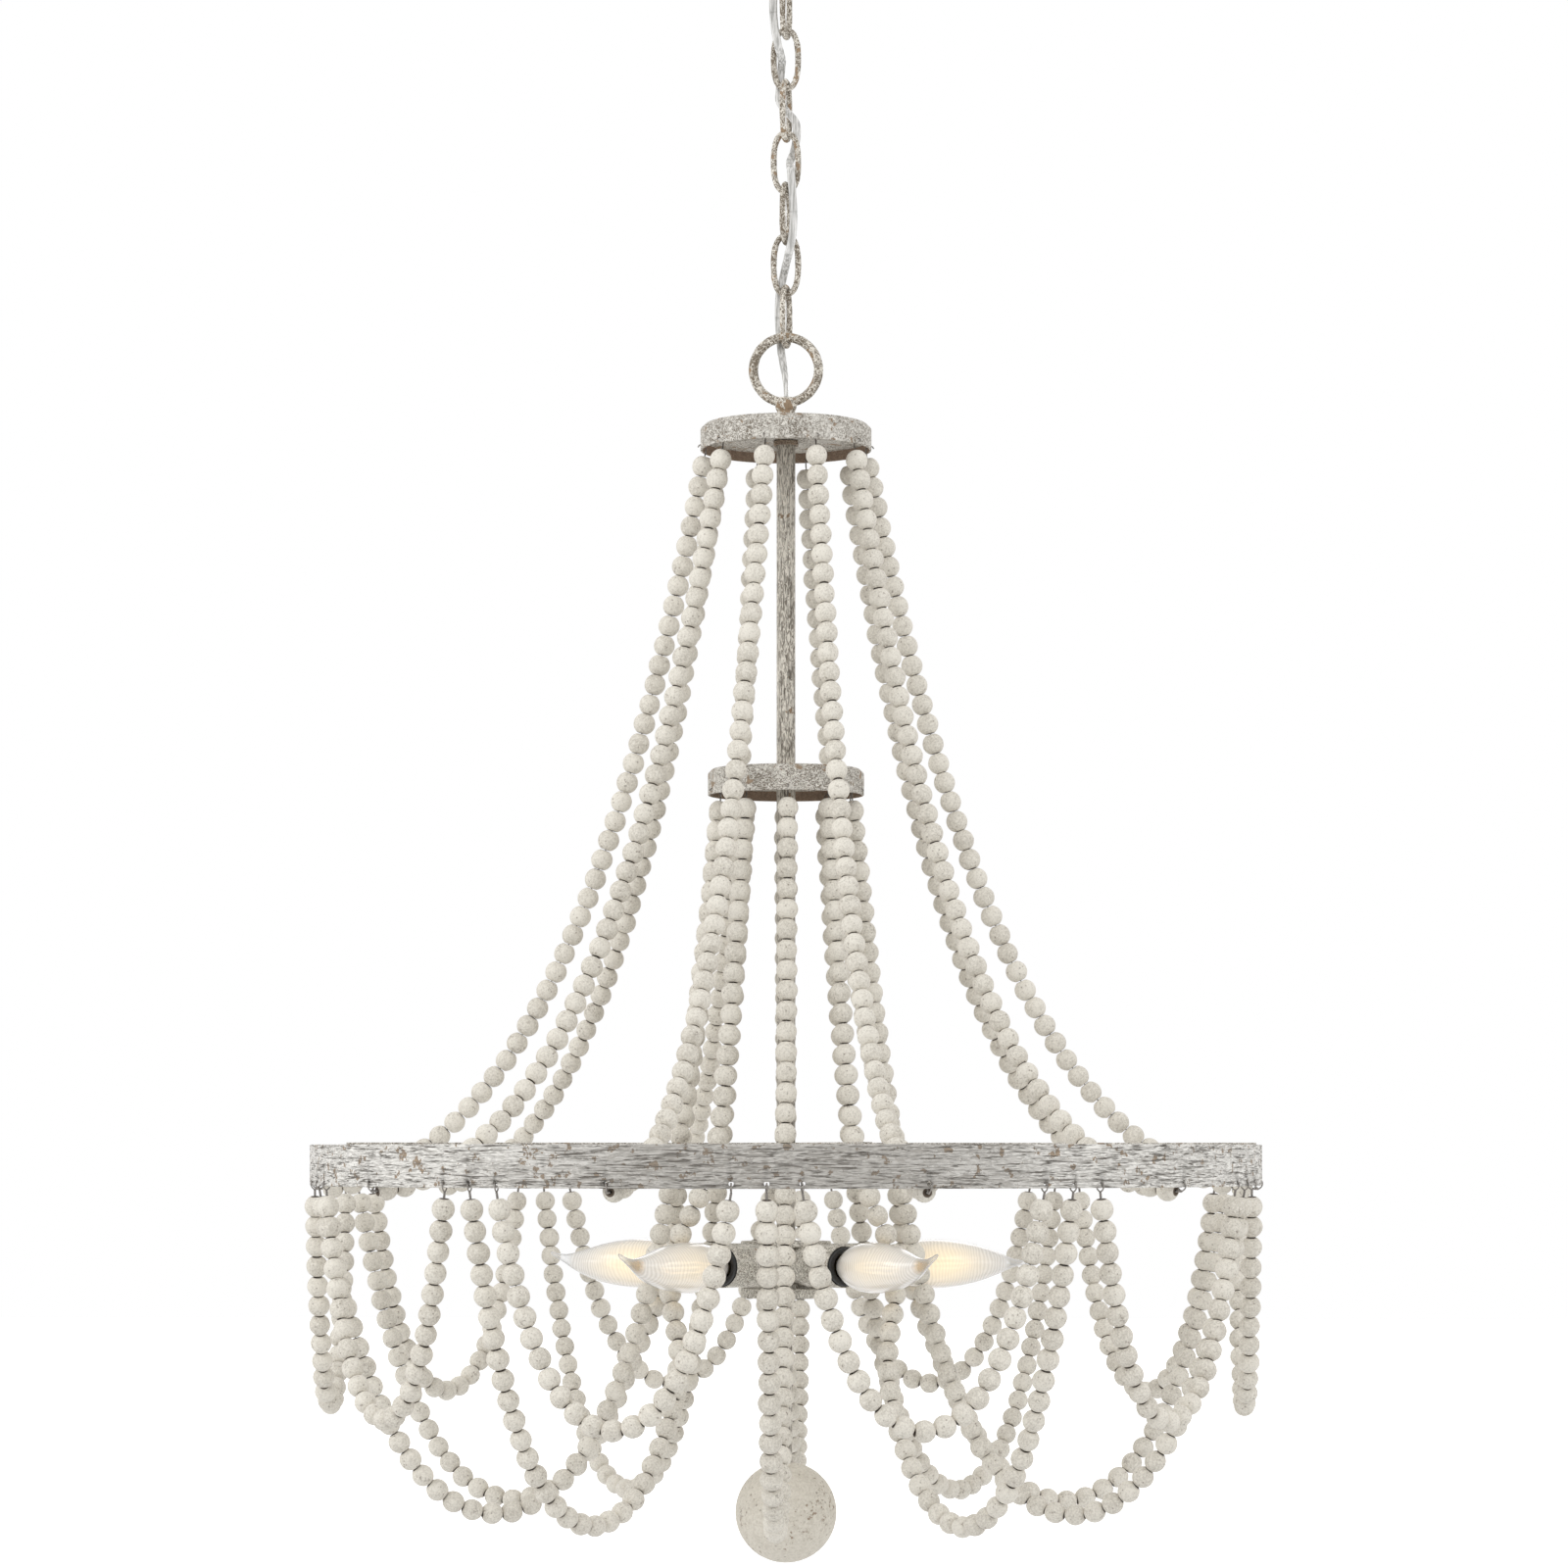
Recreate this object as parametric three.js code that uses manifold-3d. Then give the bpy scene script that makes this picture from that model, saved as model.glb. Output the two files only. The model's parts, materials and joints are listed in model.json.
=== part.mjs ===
// A beaded chandelier: a ceiling canopy, a chain with a supply cord woven through it, a hanging
// frame with five candle bulbs round a hub, and thirty strings of wooden beads.
// Millimetres, +Z up. The origin is the middle of the canopy's flat top, against the ceiling.
// Azimuths are counted from the front (-Y), positive towards +X.
import * as THREE from "three";
import { mergeVertices } from "three/addons/utils/BufferGeometryUtils.js";
import Module from "manifold-3d";

const wasm = await Module();
wasm.setup();

// Shared by every piece
const seatGap = 0.3;
const cutOverrun = 1;
const sheetWall = 1.5;
const fullTurn = 2 * Math.PI;
const half = 0.5;

// Canopy, its crossbar and the loops at both ends of the chain
const canopyRadius = 62;
const canopyDepth = 26;
const canopyFootRadius = 30;
const canopySides = 24;
const crossbarEndGap = 8.5;
const crossbarWidth = 20;
const crossbarThickness = 2.5;
const crossbarSlotLength = 12;
const crossbarSlotWidth = 4.5;
const crossbarSlotFromEnd = 16;
const loopMeanRadius = 21;
const loopBar = 6;
const loopEndSteps = 9;
const loopSides = 8;
const collarRadius = 6.85;
const collarWaistRadius = 5.6;
const collarHeight = 17.3;
const collarSides = 16;
const nippleRadius = 4.9;

// Chain
const linkCount = 7;
const linkLength = 41;
const linkWidth = 19.5;
const linkBar = 3.8;
const linkSides = 6;
const linkEndSteps = 6;
const chainTurn = THREE.MathUtils.degToRad(76);

// Supply cord
const cordRadius = 2.7;
const cordSides = 8;
const cordBore = 3.6;
const cordEndAboveHub = 12;

// Caps that the strands hang from, and the tube through them
const topCapRadius = 55.5;
const topCapHeight = 16.5;
const midCapRadius = 50.25;
const midCapHeight = 17;
const capPlateAboveRim = 6.5;
const capEdgeRound = 3;
const capSides = 25;
const capSpacing = 221.5;
const stemRadius = 6;
const stemSides = 12;
const stemFootRadius = 4;
const nutRadius = 9;
const nutHeight = 3;
const nutSides = 6;

// Ring band and the spider that carries it
const bandRadius = 305;
const bandWall = 3;
const bandHeight = 26;
const bandSides = 60;
const bandBelowMidCap = 241.7;
const spiderAboveBand = 1.3;
const spiderPlateRadius = 25;
const spiderThickness = 3;
const spokeWidth = 7;
const spokeCount = 5;
const spokeAzimuth = THREE.MathUtils.degToRad(11);

// Hub, sockets and bulbs
const hubBelowBandTop = 62;
const hubRadius = 19;
const hubFlangeRadius = 29;
const hubTopFlange = 3.8;
const hubBottomFlange = 6.3;
const hubHeight = 36.5;
const hubSides = 20;
const lampCount = 5;
const lampAzimuth = THREE.MathUtils.degToRad(36);
const lampDrop = 15.2;
const cupRadius = 13.5;
const cupWall = 0.9;
const cupReach = 66;
const cupFloor = 41.5;
const cupSides = 14;
const socketProud = 2;
const socketWall = 4;
const socketFloor = 5;
const bulbBaseClear = 1;
const bulbLength = 98;
const bulbRadius = 16;
const bulbSides = 8;
const bulbTipBend = 9;

// Ball at the foot
const ballRadius = 32.5;
const ballSides = 20;
const ballArcSteps = 12;
const ballBelowHub = 159.3;
const ballBoreDepth = 18;

// Strands of beads, and the wire hooks at their ends
const beadDiameter = 13.5;
const beadPitch = 13.05;
const beadSides = 6;
const beadsPerStep = 2;
const wireRadius = 0.6;
const wireSides = 3;
const leaderLength = 4;
const hookHoleRadius = 2;
const hookHoleSides = 4;
const hookHoleAboveEdge = 3;
const hookTail = 1.6;
const strandCount = 10;
const upperLengthShare = 1.06;
const innerLengthShare = 2.076;
const swagLengthShare = 2.265;
const topCapTurn = THREE.MathUtils.degToRad(5.5);
const midCapTurn = THREE.MathUtils.degToRad(3.5);
const topHookInset = 2.5;
const midHookInset = 5.2;
const endBelowEdge = 2.5;
const wireSwingGap = 0.45;
const wireBandGap = 0.8;
const swagHalfAngle = THREE.MathUtils.degToRad(14.1);
const strandSamples = 240;
const steepestShare = 20;
const halvingSteps = 60;
const sameAngleShare = 1e-6;
const sidestepReach = 45;
const sidestepGap = 1;

// Levels, from the ceiling down
const canopyBottom = -canopyDepth;
const loopDrop = loopMeanRadius - loopBar * half + collarHeight;
const canopyLoopZ = canopyBottom - seatGap - loopDrop;
const linkMeanLength = linkLength - linkBar;
const hookStep = (loopBar + linkBar) * half + seatGap;
const linkPitch = linkMeanLength - linkBar - seatGap;
const firstLinkZ = canopyLoopZ - loopMeanRadius + hookStep - linkMeanLength * half;
const crossingZ = firstLinkZ + (linkMeanLength - linkBar - seatGap) * half;
const lastLinkZ = firstLinkZ - (linkCount - 1) * linkPitch;
const topLoopZ = lastLinkZ - linkMeanLength * half + hookStep - loopMeanRadius;
const capTop = topLoopZ - loopDrop - seatGap;
const capRim = capTop - topCapHeight;
const midCapTop = capTop - capSpacing;
const midCapRim = midCapTop - midCapHeight;
const bandTop = midCapTop - bandBelowMidCap;
const bandBottom = bandTop - bandHeight;
const hubTop = bandTop - hubBelowBandTop;
const hubBottom = hubTop - hubHeight;
const lampZ = hubTop - lampDrop;
const ballZ = lampZ - ballBelowHub;
const stemClear = stemRadius + seatGap;
const hookHoleZ = bandBottom + hookHoleAboveEdge;
const wireOnHoleDrop = hookHoleRadius * Math.SQRT1_2 - wireRadius - wireSwingGap;

// A three.js geometry as a solid for cutting and joining, and back again
function solidOf(geometry) {
  const bare = geometry.clone();
  bare.deleteAttribute("normal");
  bare.deleteAttribute("uv");
  const merged = mergeVertices(bare);
  return new wasm.Manifold(
    new wasm.Mesh({
      numProp: 3,
      vertProperties: merged.attributes.position.array,
      triVerts: new Uint32Array(merged.index.array),
    }),
  );
}

function geometryOf(solid) {
  const mesh = solid.getMesh();
  const geometry = new THREE.BufferGeometry();
  geometry.setAttribute("position", new THREE.BufferAttribute(mesh.vertProperties, 3));
  geometry.setIndex(new THREE.BufferAttribute(mesh.triVerts, 1));
  geometry.computeVertexNormals();
  return geometry;
}

function cut(body, ...tools) {
  return tools.reduce((left, tool) => left.subtract(solidOf(tool)), body);
}

// A profile of [radius, height] points turned about Z
function turned(profile, sides) {
  const points = profile.map(([r, z]) => new THREE.Vector2(r, z));
  return new THREE.LatheGeometry(points, sides).rotateX(Math.PI * half);
}

function upright(radius, low, high, sides) {
  const body = new THREE.CylinderGeometry(radius, radius, high - low, sides);
  return body.rotateX(Math.PI * half).translate(0, 0, (low + high) * half);
}

// A cylinder that lies along an azimuth, from one distance from the axis to another
function radial(radius, from, to, z, azimuth, sides) {
  const body = new THREE.CylinderGeometry(radius, radius, to - from, sides);
  body.rotateY(fullTurn / (2 * sides)).translate(0, -(from + to) * half, 0);
  return body.rotateZ(azimuth).translate(0, 0, z);
}

// A point at a distance from the axis, an azimuth and a height
function place(r, azimuth, z) {
  return new THREE.Vector3(r * Math.sin(azimuth), -r * Math.cos(azimuth), z);
}

function ringAround(centre, side, up, radius, count, turn) {
  return Array.from({ length: count }, (_, i) => {
    const angle = turn + (fullTurn * i) / count;
    return centre
      .clone()
      .addScaledVector(side, radius * Math.cos(angle))
      .addScaledVector(up, radius * Math.sin(angle));
  });
}

// Triangles between two rings, which may have different numbers of points
function stitch(indices, a, aCount, b, bCount) {
  let i = 0;
  let j = 0;
  while (i < aCount || j < bCount) {
    const aNext = a + ((i + 1) % aCount);
    const bNext = b + ((j + 1) % bCount);
    if (j === bCount || (i < aCount && (i + 1) * bCount <= (j + 1) * aCount)) {
      indices.push(a + (i % aCount), aNext, b + (j % bCount));
      i += 1;
    } else {
      indices.push(a + (i % aCount), bNext, b + (j % bCount));
      j += 1;
    }
  }
}

// A skin over a row of rings, closed by flat ends or on itself
function skin(rings, closed) {
  const positions = rings.flat().flatMap((p) => [p.x, p.y, p.z]);
  const starts = [];
  rings.reduce((sum, ring) => {
    starts.push(sum);
    return sum + ring.length;
  }, 0);
  const indices = [];
  for (let k = 0; k + 1 < rings.length; k += 1) {
    stitch(indices, starts[k], rings[k].length, starts[k + 1], rings[k + 1].length);
  }
  const last = rings.length - 1;
  if (closed) {
    stitch(indices, starts[last], rings[last].length, starts[0], rings[0].length);
  } else {
    for (let i = 1; i + 1 < rings[0].length; i += 1) {
      indices.push(0, i + 1, i);
    }
    for (let i = 1; i + 1 < rings[last].length; i += 1) {
      indices.push(starts[last], starts[last] + i, starts[last] + i + 1);
    }
  }
  const geometry = new THREE.BufferGeometry();
  geometry.setAttribute("position", new THREE.Float32BufferAttribute(positions, 3));
  geometry.setIndex(indices);
  geometry.computeVertexNormals();
  return geometry;
}

// Rings across a path; each stop is { at, radius, sides, turn }, and sideways is across the path
function ringsAlong(stops, sideways, closed) {
  return stops.map((stop, k) => {
    const count = stops.length;
    const before = closed ? stops[(k + count - 1) % count] : stops[Math.max(k - 1, 0)];
    const after = closed ? stops[(k + 1) % count] : stops[Math.min(k + 1, count - 1)];
    const along = after.at.clone().sub(before.at).normalize();
    const flat = sideways(stop.at);
    const side = flat.addScaledVector(along, -flat.dot(along)).normalize();
    const up = along.clone().cross(side);
    return ringAround(stop.at, side, up, stop.radius, stop.sides, stop.turn ?? 0);
  });
}

// The colours and finishes
function finish(color, roughness, metalness = 0) {
  return new THREE.MeshStandardMaterial({ color, roughness, metalness });
}
const finishes = {
  whitewash: () => finish(0xb9b3a8, 0.8),
  beads: () => finish(0xd6cfc2, 0.75),
  steel: () => finish(0x8d8a86, 0.4, 0.9),
  cord: () => finish(0xc9ccd0, 0.35),
  socket: () => finish(0x101010, 0.5),
  glass: () => finish(0xf6ead8, 0.1),
};

function named(name, geometry, material) {
  const mesh = new THREE.Mesh(geometry, material);
  mesh.name = name;
  return mesh;
}

// An oval link or a round loop is one bar bent round in the XZ plane
function bentBar(width, length, bar, sides, endSteps) {
  const radius = (width - bar) * half;
  const leg = (length - width) * half;
  const stops = [];
  for (const end of [1, -1]) {
    for (let i = 0; i <= endSteps; i += 1) {
      const angle = (Math.PI * i) / endSteps + (end > 0 ? 0 : Math.PI);
      const at = new THREE.Vector3(
        radius * Math.cos(angle),
        0,
        radius * Math.sin(angle) + end * leg,
      );
      stops.push({ at, radius: bar * half, sides });
    }
  }
  const open = leg > 0 ? stops : stops.filter((_, i) => i % (endSteps + 1) < endSteps);
  const across = () => new THREE.Vector3(0, -1, 0);
  return skin(ringsAlong(open, across, true), true);
}

// A loop on a hollow collar, standing on z = 0; the cord passes down its bore
function loopOnCollar(nippleLength) {
  const ringZ = loopDrop;
  const width = loopMeanRadius * 2 + loopBar;
  const ring = bentBar(width, width, loopBar, loopSides, loopEndSteps);
  ring.translate(0, 0, ringZ);
  const top = collarHeight;
  const lump = collarHeight * half;
  const collar = turned(
    [
      [0, 0],
      [collarRadius, 0],
      [collarRadius, lump * half],
      [collarWaistRadius, lump],
      [collarRadius, lump + lump * half],
      [collarRadius, top - loopBar * half],
      [collarWaistRadius, top],
      [0, top],
    ],
    collarSides,
  );
  let body = solidOf(ring).add(solidOf(collar));
  if (nippleLength > 0) {
    body = body.add(solidOf(upright(nippleRadius, -nippleLength, cutOverrun, collarSides)));
  }
  const bore = upright(cordBore, -nippleLength - cutOverrun, top + cutOverrun, cordSides);
  return geometryOf(cut(body, bore));
}

// The dished ceiling cup, open at the top
function canopy() {
  const inner = canopyRadius - sheetWall;
  const hole = nippleRadius + seatGap;
  const shoulder = (canopyRadius + canopyFootRadius) * half;
  const floor = canopyBottom + sheetWall;
  const profile = [
    [hole, canopyBottom],
    [canopyFootRadius, canopyBottom],
    [shoulder, canopyBottom * (1 - half * half)],
    [canopyRadius, -crossbarThickness * 2],
    [canopyRadius, 0],
    [inner, 0],
    [inner, -crossbarThickness * 2],
    [shoulder, canopyBottom * (1 - half * half) + sheetWall],
    [canopyFootRadius, floor],
    [hole, floor],
    [hole, canopyBottom],
  ];
  return turned(profile, canopySides);
}

function crossbar() {
  const length = 2 * (canopyRadius - sheetWall - crossbarEndGap);
  const bar = new THREE.BoxGeometry(length, crossbarWidth, crossbarThickness);
  bar.translate(0, 0, -crossbarThickness * half);
  const deep = crossbarThickness + 2 * cutOverrun;
  const slots = [1, -1].map((side) => {
    const slot = new THREE.BoxGeometry(crossbarSlotLength, crossbarSlotWidth, deep);
    const out = length * half - crossbarSlotFromEnd;
    return slot.translate(side * out, 0, -crossbarThickness * half);
  });
  const hole = upright(
    nippleRadius + seatGap,
    -crossbarThickness - cutOverrun,
    cutOverrun,
    collarSides,
  );
  return geometryOf(cut(solidOf(bar), hole, ...slots));
}

// An inverted pan closed by a plate set a little above its rim; the tube passes through both
function cap(radius, height) {
  const inner = radius - sheetWall;
  const plate = capPlateAboveRim - height;
  const round = capEdgeRound * (1 - Math.SQRT1_2);
  const roundIn = (capEdgeRound - sheetWall) * (1 - Math.SQRT1_2);
  const pan = turned(
    [
      [stemClear, -sheetWall],
      [inner - capEdgeRound + sheetWall, -sheetWall],
      [inner - roundIn, -sheetWall - roundIn],
      [inner, -capEdgeRound],
      [inner, plate + sheetWall],
      [stemClear, plate + sheetWall],
      [stemClear, plate],
      [inner, plate],
      [inner, -height],
      [radius, -height],
      [radius, -capEdgeRound],
      [radius - round, -round],
      [radius - capEdgeRound, 0],
      [stemClear, 0],
      [stemClear, -sheetWall],
    ],
    capSides,
  );
  return solidOf(pan);
}

function cutHookHoles(body, radius, wall, z, azimuths) {
  const from = radius - wall - cutOverrun;
  const to = radius + cutOverrun;
  const holes = azimuths.map((azimuth) =>
    radial(hookHoleRadius, from, to, z, azimuth, hookHoleSides),
  );
  return geometryOf(cut(body, ...holes));
}

// The azimuths that the strands hang at
const eachStrand = Array.from({ length: strandCount }, (_, i) => i);
const groupStep = fullTurn / strandCount;
const innerAzimuths = eachStrand.map((i) => groupStep * i);
const upperAzimuths = eachStrand.map((i) => groupStep * (i + half));
const swagAzimuths = upperAzimuths;
const bandAzimuths = [
  ...innerAzimuths,
  ...upperAzimuths,
  ...swagAzimuths.map((a) => a - swagHalfAngle),
  ...swagAzimuths.map((a) => a + swagHalfAngle),
];

function ringBand() {
  const inner = bandRadius - bandWall;
  const band = turned(
    [
      [inner, bandBottom],
      [bandRadius, bandBottom],
      [bandRadius, bandTop],
      [inner, bandTop],
      [inner, bandBottom],
    ],
    bandSides,
  );
  return cutHookHoles(solidOf(band), bandRadius, bandWall, hookHoleZ, bandAzimuths);
}

// A plate on the tube with five flat spokes out to the band
function spider() {
  const top = bandTop + spiderAboveBand;
  const low = top - spiderThickness;
  const reach = (bandRadius - bandWall) * Math.cos(Math.PI / bandSides) - seatGap;
  const start = spiderPlateRadius * half;
  let body = solidOf(upright(spiderPlateRadius, low, top, hubSides));
  for (let i = 0; i < spokeCount; i += 1) {
    const spoke = new THREE.BoxGeometry(spokeWidth, reach - start, spiderThickness);
    spoke.translate(0, -(start + reach) * half, (low + top) * half);
    spoke.rotateZ(spokeAzimuth + (fullTurn * i) / spokeCount);
    body = body.add(solidOf(spoke));
  }
  return geometryOf(cut(body, upright(stemClear, low - cutOverrun, top + cutOverrun, stemSides)));
}

const lampAzimuths = Array.from({ length: lampCount }, (_, i) => lampAzimuth * (2 * i + 1));

// The turned body with five cups for the sockets
function hub() {
  const body = turned(
    [
      [0, hubBottom],
      [hubFlangeRadius, hubBottom],
      [hubFlangeRadius, hubBottom + hubBottomFlange],
      [hubRadius, hubBottom + hubBottomFlange],
      [hubRadius, hubTop - hubTopFlange],
      [hubFlangeRadius, hubTop - hubTopFlange],
      [hubFlangeRadius, hubTop],
      [0, hubTop],
    ],
    hubSides,
  );
  let joined = solidOf(body);
  for (const azimuth of lampAzimuths) {
    joined = joined.add(solidOf(radial(cupRadius, 0, cupReach, lampZ, azimuth, cupSides)));
  }
  const bores = lampAzimuths.map((azimuth) =>
    radial(cupRadius - cupWall, cupFloor, cupReach + cutOverrun, lampZ, azimuth, cupSides),
  );
  const shaft = upright(stemClear, hubBottom - cutOverrun, hubTop + cutOverrun, stemSides);
  return geometryOf(cut(joined, shaft, ...bores));
}

const socketRadius = cupRadius - cupWall - seatGap;
const socketBore = socketRadius - socketWall;
const socketMouth = cupReach + socketProud;
const bulbStart = cupFloor + seatGap + socketFloor + seatGap;

// A lamp holder in its own frame: it points along -Y, like the azimuth 0
function socket() {
  const start = cupFloor + seatGap;
  const body = solidOf(radial(socketRadius, start, socketMouth, 0, 0, cupSides));
  const mouth = socketMouth + cutOverrun;
  return geometryOf(cut(body, radial(socketBore, start + socketFloor, mouth, 0, 0, cupSides)));
}

// A candle bulb: screw base, swelling glass and a bent drawn-out tip, as [length share, radius
// share] pairs along the glass
const bulbOutlineShares = [
  [0, 0.6],
  [0.12, 0.84],
  [0.3, 1],
  [0.5, 0.92],
  [0.68, 0.66],
  [0.82, 0.34],
  [0.9, 0.16],
  [1, 0.07],
];
const bulbTipShare = 0.68;

function bulb(bend) {
  const glassStart = socketMouth + seatGap;
  const base = socketBore - bulbBaseClear;
  const stops = [
    { at: place(bulbStart, 0, 0), radius: base },
    { at: place(glassStart, 0, 0), radius: base },
  ];
  for (const [lengthShare, radiusShare] of bulbOutlineShares) {
    const past = Math.max(0, lengthShare - bulbTipShare) / (1 - bulbTipShare);
    const at = place(glassStart + seatGap + bulbLength * lengthShare, 0, 0);
    at.addScaledVector(bend, bulbTipBend * past * past);
    stops.push({ at, radius: bulbRadius * radiusShare });
  }
  const across = () => new THREE.Vector3(1, 0, 0);
  const sized = stops.map((stop) => ({ ...stop, sides: bulbSides, turn: Math.PI / bulbSides }));
  return skin(ringsAlong(sized, across, false), false);
}

// The tube from the top cap to the hub, then a thinner rod to the ball
function stem() {
  const rodTop = hubBottom - nutHeight;
  const rodEnd = ballZ + ballRadius - ballBoreDepth + seatGap;
  const body = turned(
    [
      [0, rodEnd],
      [stemFootRadius, rodEnd],
      [stemFootRadius, rodTop],
      [stemRadius, rodTop],
      [stemRadius, capTop],
      [0, capTop],
    ],
    stemSides,
  );
  return geometryOf(cut(solidOf(body), upright(cordBore, hubTop, capTop + cutOverrun, cordSides)));
}

function capNut() {
  const high = capRim + capPlateAboveRim - seatGap;
  const low = high - nutHeight;
  const nut = upright(nutRadius, low, high, nutSides);
  const hole = upright(stemClear, low - cutOverrun, high + cutOverrun, stemSides);
  return geometryOf(cut(solidOf(nut), hole));
}

function ball() {
  const bore = stemFootRadius + seatGap;
  const start = Math.asin(bore / ballRadius);
  const profile = [];
  for (let i = 0; i <= ballArcSteps; i += 1) {
    const angle = Math.PI - (i * (Math.PI - start)) / ballArcSteps;
    profile.push([ballRadius * Math.sin(angle), ballRadius * Math.cos(angle)]);
  }
  profile[0][0] = 0;
  profile.push([bore, ballRadius - ballBoreDepth], [0, ballRadius - ballBoreDepth]);
  return turned(profile, ballSides);
}

// The curve that a strand of a given length takes between two points of its own upright plane,
// as samples [across, height] from the first point to the second
function hanging(a, b, length) {
  const span = b[0] - a[0];
  const rise = b[1] - a[1];
  const target = Math.sqrt(length * length - rise * rise) / span;
  let low = 0;
  let high = steepestShare;
  for (let i = 0; i < halvingSteps; i += 1) {
    const middle = (low + high) * half;
    if (Math.sinh(middle) / middle < target) {
      low = middle;
    } else {
      high = middle;
    }
  }
  const size = span / (2 * low);
  const lowest = (a[0] + b[0]) * half - size * Math.atanh(rise / length);
  const height = (x) => size * Math.cosh((x - lowest) / size);
  const arc = (x) => size * Math.sinh((x - lowest) / size);
  return Array.from({ length: strandSamples + 1 }, (_, i) => {
    const s = arc(a[0]) + (length * i) / strandSamples;
    const x = lowest + size * Math.asinh(s / size);
    return [x, a[1] + height(x) - height(a[0])];
  });
}

// The length of a strand of whole beads that is about some share longer than the way between
// its two ends
function strandLength(way, lengthShare) {
  const beads = Math.round((way * lengthShare - 2 * leaderLength) / beadPitch);
  return beads * beadPitch + 2 * leaderLength;
}

// Points at even distances along a sampled path
function evenly(path, distances) {
  const curve = new THREE.CatmullRomCurve3(path, false, "centripetal");
  curve.arcLengthDivisions = path.length * 2;
  const total = curve.getLength();
  return distances(total).map((d) => curve.getPointAt(d / total));
}

// A strand: a hook of wire at each end and the row of beads between them
function strand(path, startHook, endHook, sideways) {
  const beads = evenly(path, (total) => {
    const run = total - 2 * leaderLength;
    const steps = Math.round(run / (beadPitch * beadsPerStep));
    return Array.from({ length: steps + 1 }, (_, k) => leaderLength + (run * k) / steps);
  });
  const wire = (at) => ({ at, radius: wireRadius, sides: wireSides });
  const body = beads.map((at) => ({ at, radius: beadDiameter * half, sides: beadSides }));
  const ends = [beads[0], beads[beads.length - 1]];
  const stops = [
    ...startHook.map(wire),
    wire(ends[0].clone().lerp(path[0], seatGap / leaderLength)),
    ...body,
    wire(ends[1].clone().lerp(path[path.length - 1], seatGap / leaderLength)),
    ...endHook.map(wire),
  ];
  return skin(ringsAlong(stops, sideways, false), false);
}

// A hook that passes out through a cap's skirt from the strand inside it
function capHook(radius, r, rim, azimuth) {
  const level = rim + hookHoleAboveEdge - wireOnHoleDrop;
  return [
    place(radius + hookTail, azimuth, level),
    place(r, azimuth, level),
    place(r, azimuth, rim),
  ];
}

// A hook that rises outside the band and passes in through its hole
function bandHook(azimuth) {
  const outside = bandRadius + wireRadius + wireBandGap;
  const level = hookHoleZ - wireOnHoleDrop;
  return [
    place(outside, azimuth, bandBottom - endBelowEdge * half),
    place(outside, azimuth, level),
    place(bandRadius - bandWall - hookTail, azimuth, level),
  ];
}

const bandEnd = [bandRadius - bandWall * half, bandBottom - endBelowEdge];

// A strand from a hook in a cap that is turned a little against the band, down to the band
function radialStrand(capRadius, inset, rim, lengthShare, azimuth, capTurn, sidestep) {
  const r = capRadius - sheetWall - inset + wireRadius;
  const top = place(r, azimuth + capTurn, rim - seatGap);
  const foot = place(bandEnd[0], azimuth, bandEnd[1]);
  const span = Math.hypot(foot.x - top.x, foot.y - top.y);
  const length = strandLength(top.distanceTo(foot), lengthShare);
  const path = hanging([0, top.z], [span, foot.z], length).map(([x, z]) =>
    sidestep(top.clone().lerp(foot, x / span).setZ(z)),
  );
  const across = (p) => place(1, Math.atan2(p.x, -p.y) + Math.PI * half, 0);
  const hook = capHook(capRadius, r, rim, azimuth + capTurn);
  return strand(path, hook, bandHook(azimuth), across);
}

function upperStrand(azimuth) {
  const straight = (p) => p;
  const share = upperLengthShare;
  return radialStrand(topCapRadius, topHookInset, capRim, share, azimuth, topCapTurn, straight);
}

// An inner strand over a lamp lies round the bulb: it steps aside by the bulb's and its own radius
function innerStrand(azimuth) {
  const over = lampAzimuths.some((a) => Math.abs(Math.sin((a - azimuth) * half)) < sameAngleShare);
  const clear = bulbRadius + beadDiameter * half + sidestepGap;
  const away = Math.sin(azimuth) < -sameAngleShare ? -1 : 1;
  const side = place(1, azimuth + Math.PI * half, 0);
  const step = (p) => {
    if (!over || Math.hypot(p.x, p.y) > bandRadius * half) {
      return p;
    }
    const near = Math.exp(-(((p.z - lampZ) / sidestepReach) ** 2));
    return p.addScaledVector(side, near * (away * clear - p.dot(side)));
  };
  const share = innerLengthShare;
  return radialStrand(midCapRadius, midHookInset, midCapRim, share, azimuth, midCapTurn, step);
}

// A swag hangs in the upright plane through its two hook holes
function swagStrand(azimuth) {
  const reach = bandEnd[0] * Math.sin(swagHalfAngle);
  const depth = bandEnd[0] * Math.cos(swagHalfAngle);
  const length = strandLength(2 * reach, swagLengthShare);
  const path = hanging([-reach, bandEnd[1]], [reach, bandEnd[1]], length).map(([x, z]) =>
    place(depth, azimuth, z).add(place(x, azimuth + Math.PI * half, 0)),
  );
  const across = () => place(-1, azimuth, 0);
  const start = bandHook(azimuth - swagHalfAngle).reverse();
  return strand(path, start, bandHook(azimuth + swagHalfAngle), across);
}

// The cord passes each crossing of two links in one of the quarters between their bars, given
// here as [X side, Y side]; where its side of a link changes, it passes through that link
const crossingSides = [
  [-1, -1],
  [-1, -1],
  [-1, 1],
  [1, 1],
  [1, -1],
  [1, -1],
  [-1, 1],
  [-1, 1],
];
const enterShare = 0.29;

function linkTurn(i) {
  return i % 2 === 0 ? chainTurn : 0;
}

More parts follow.
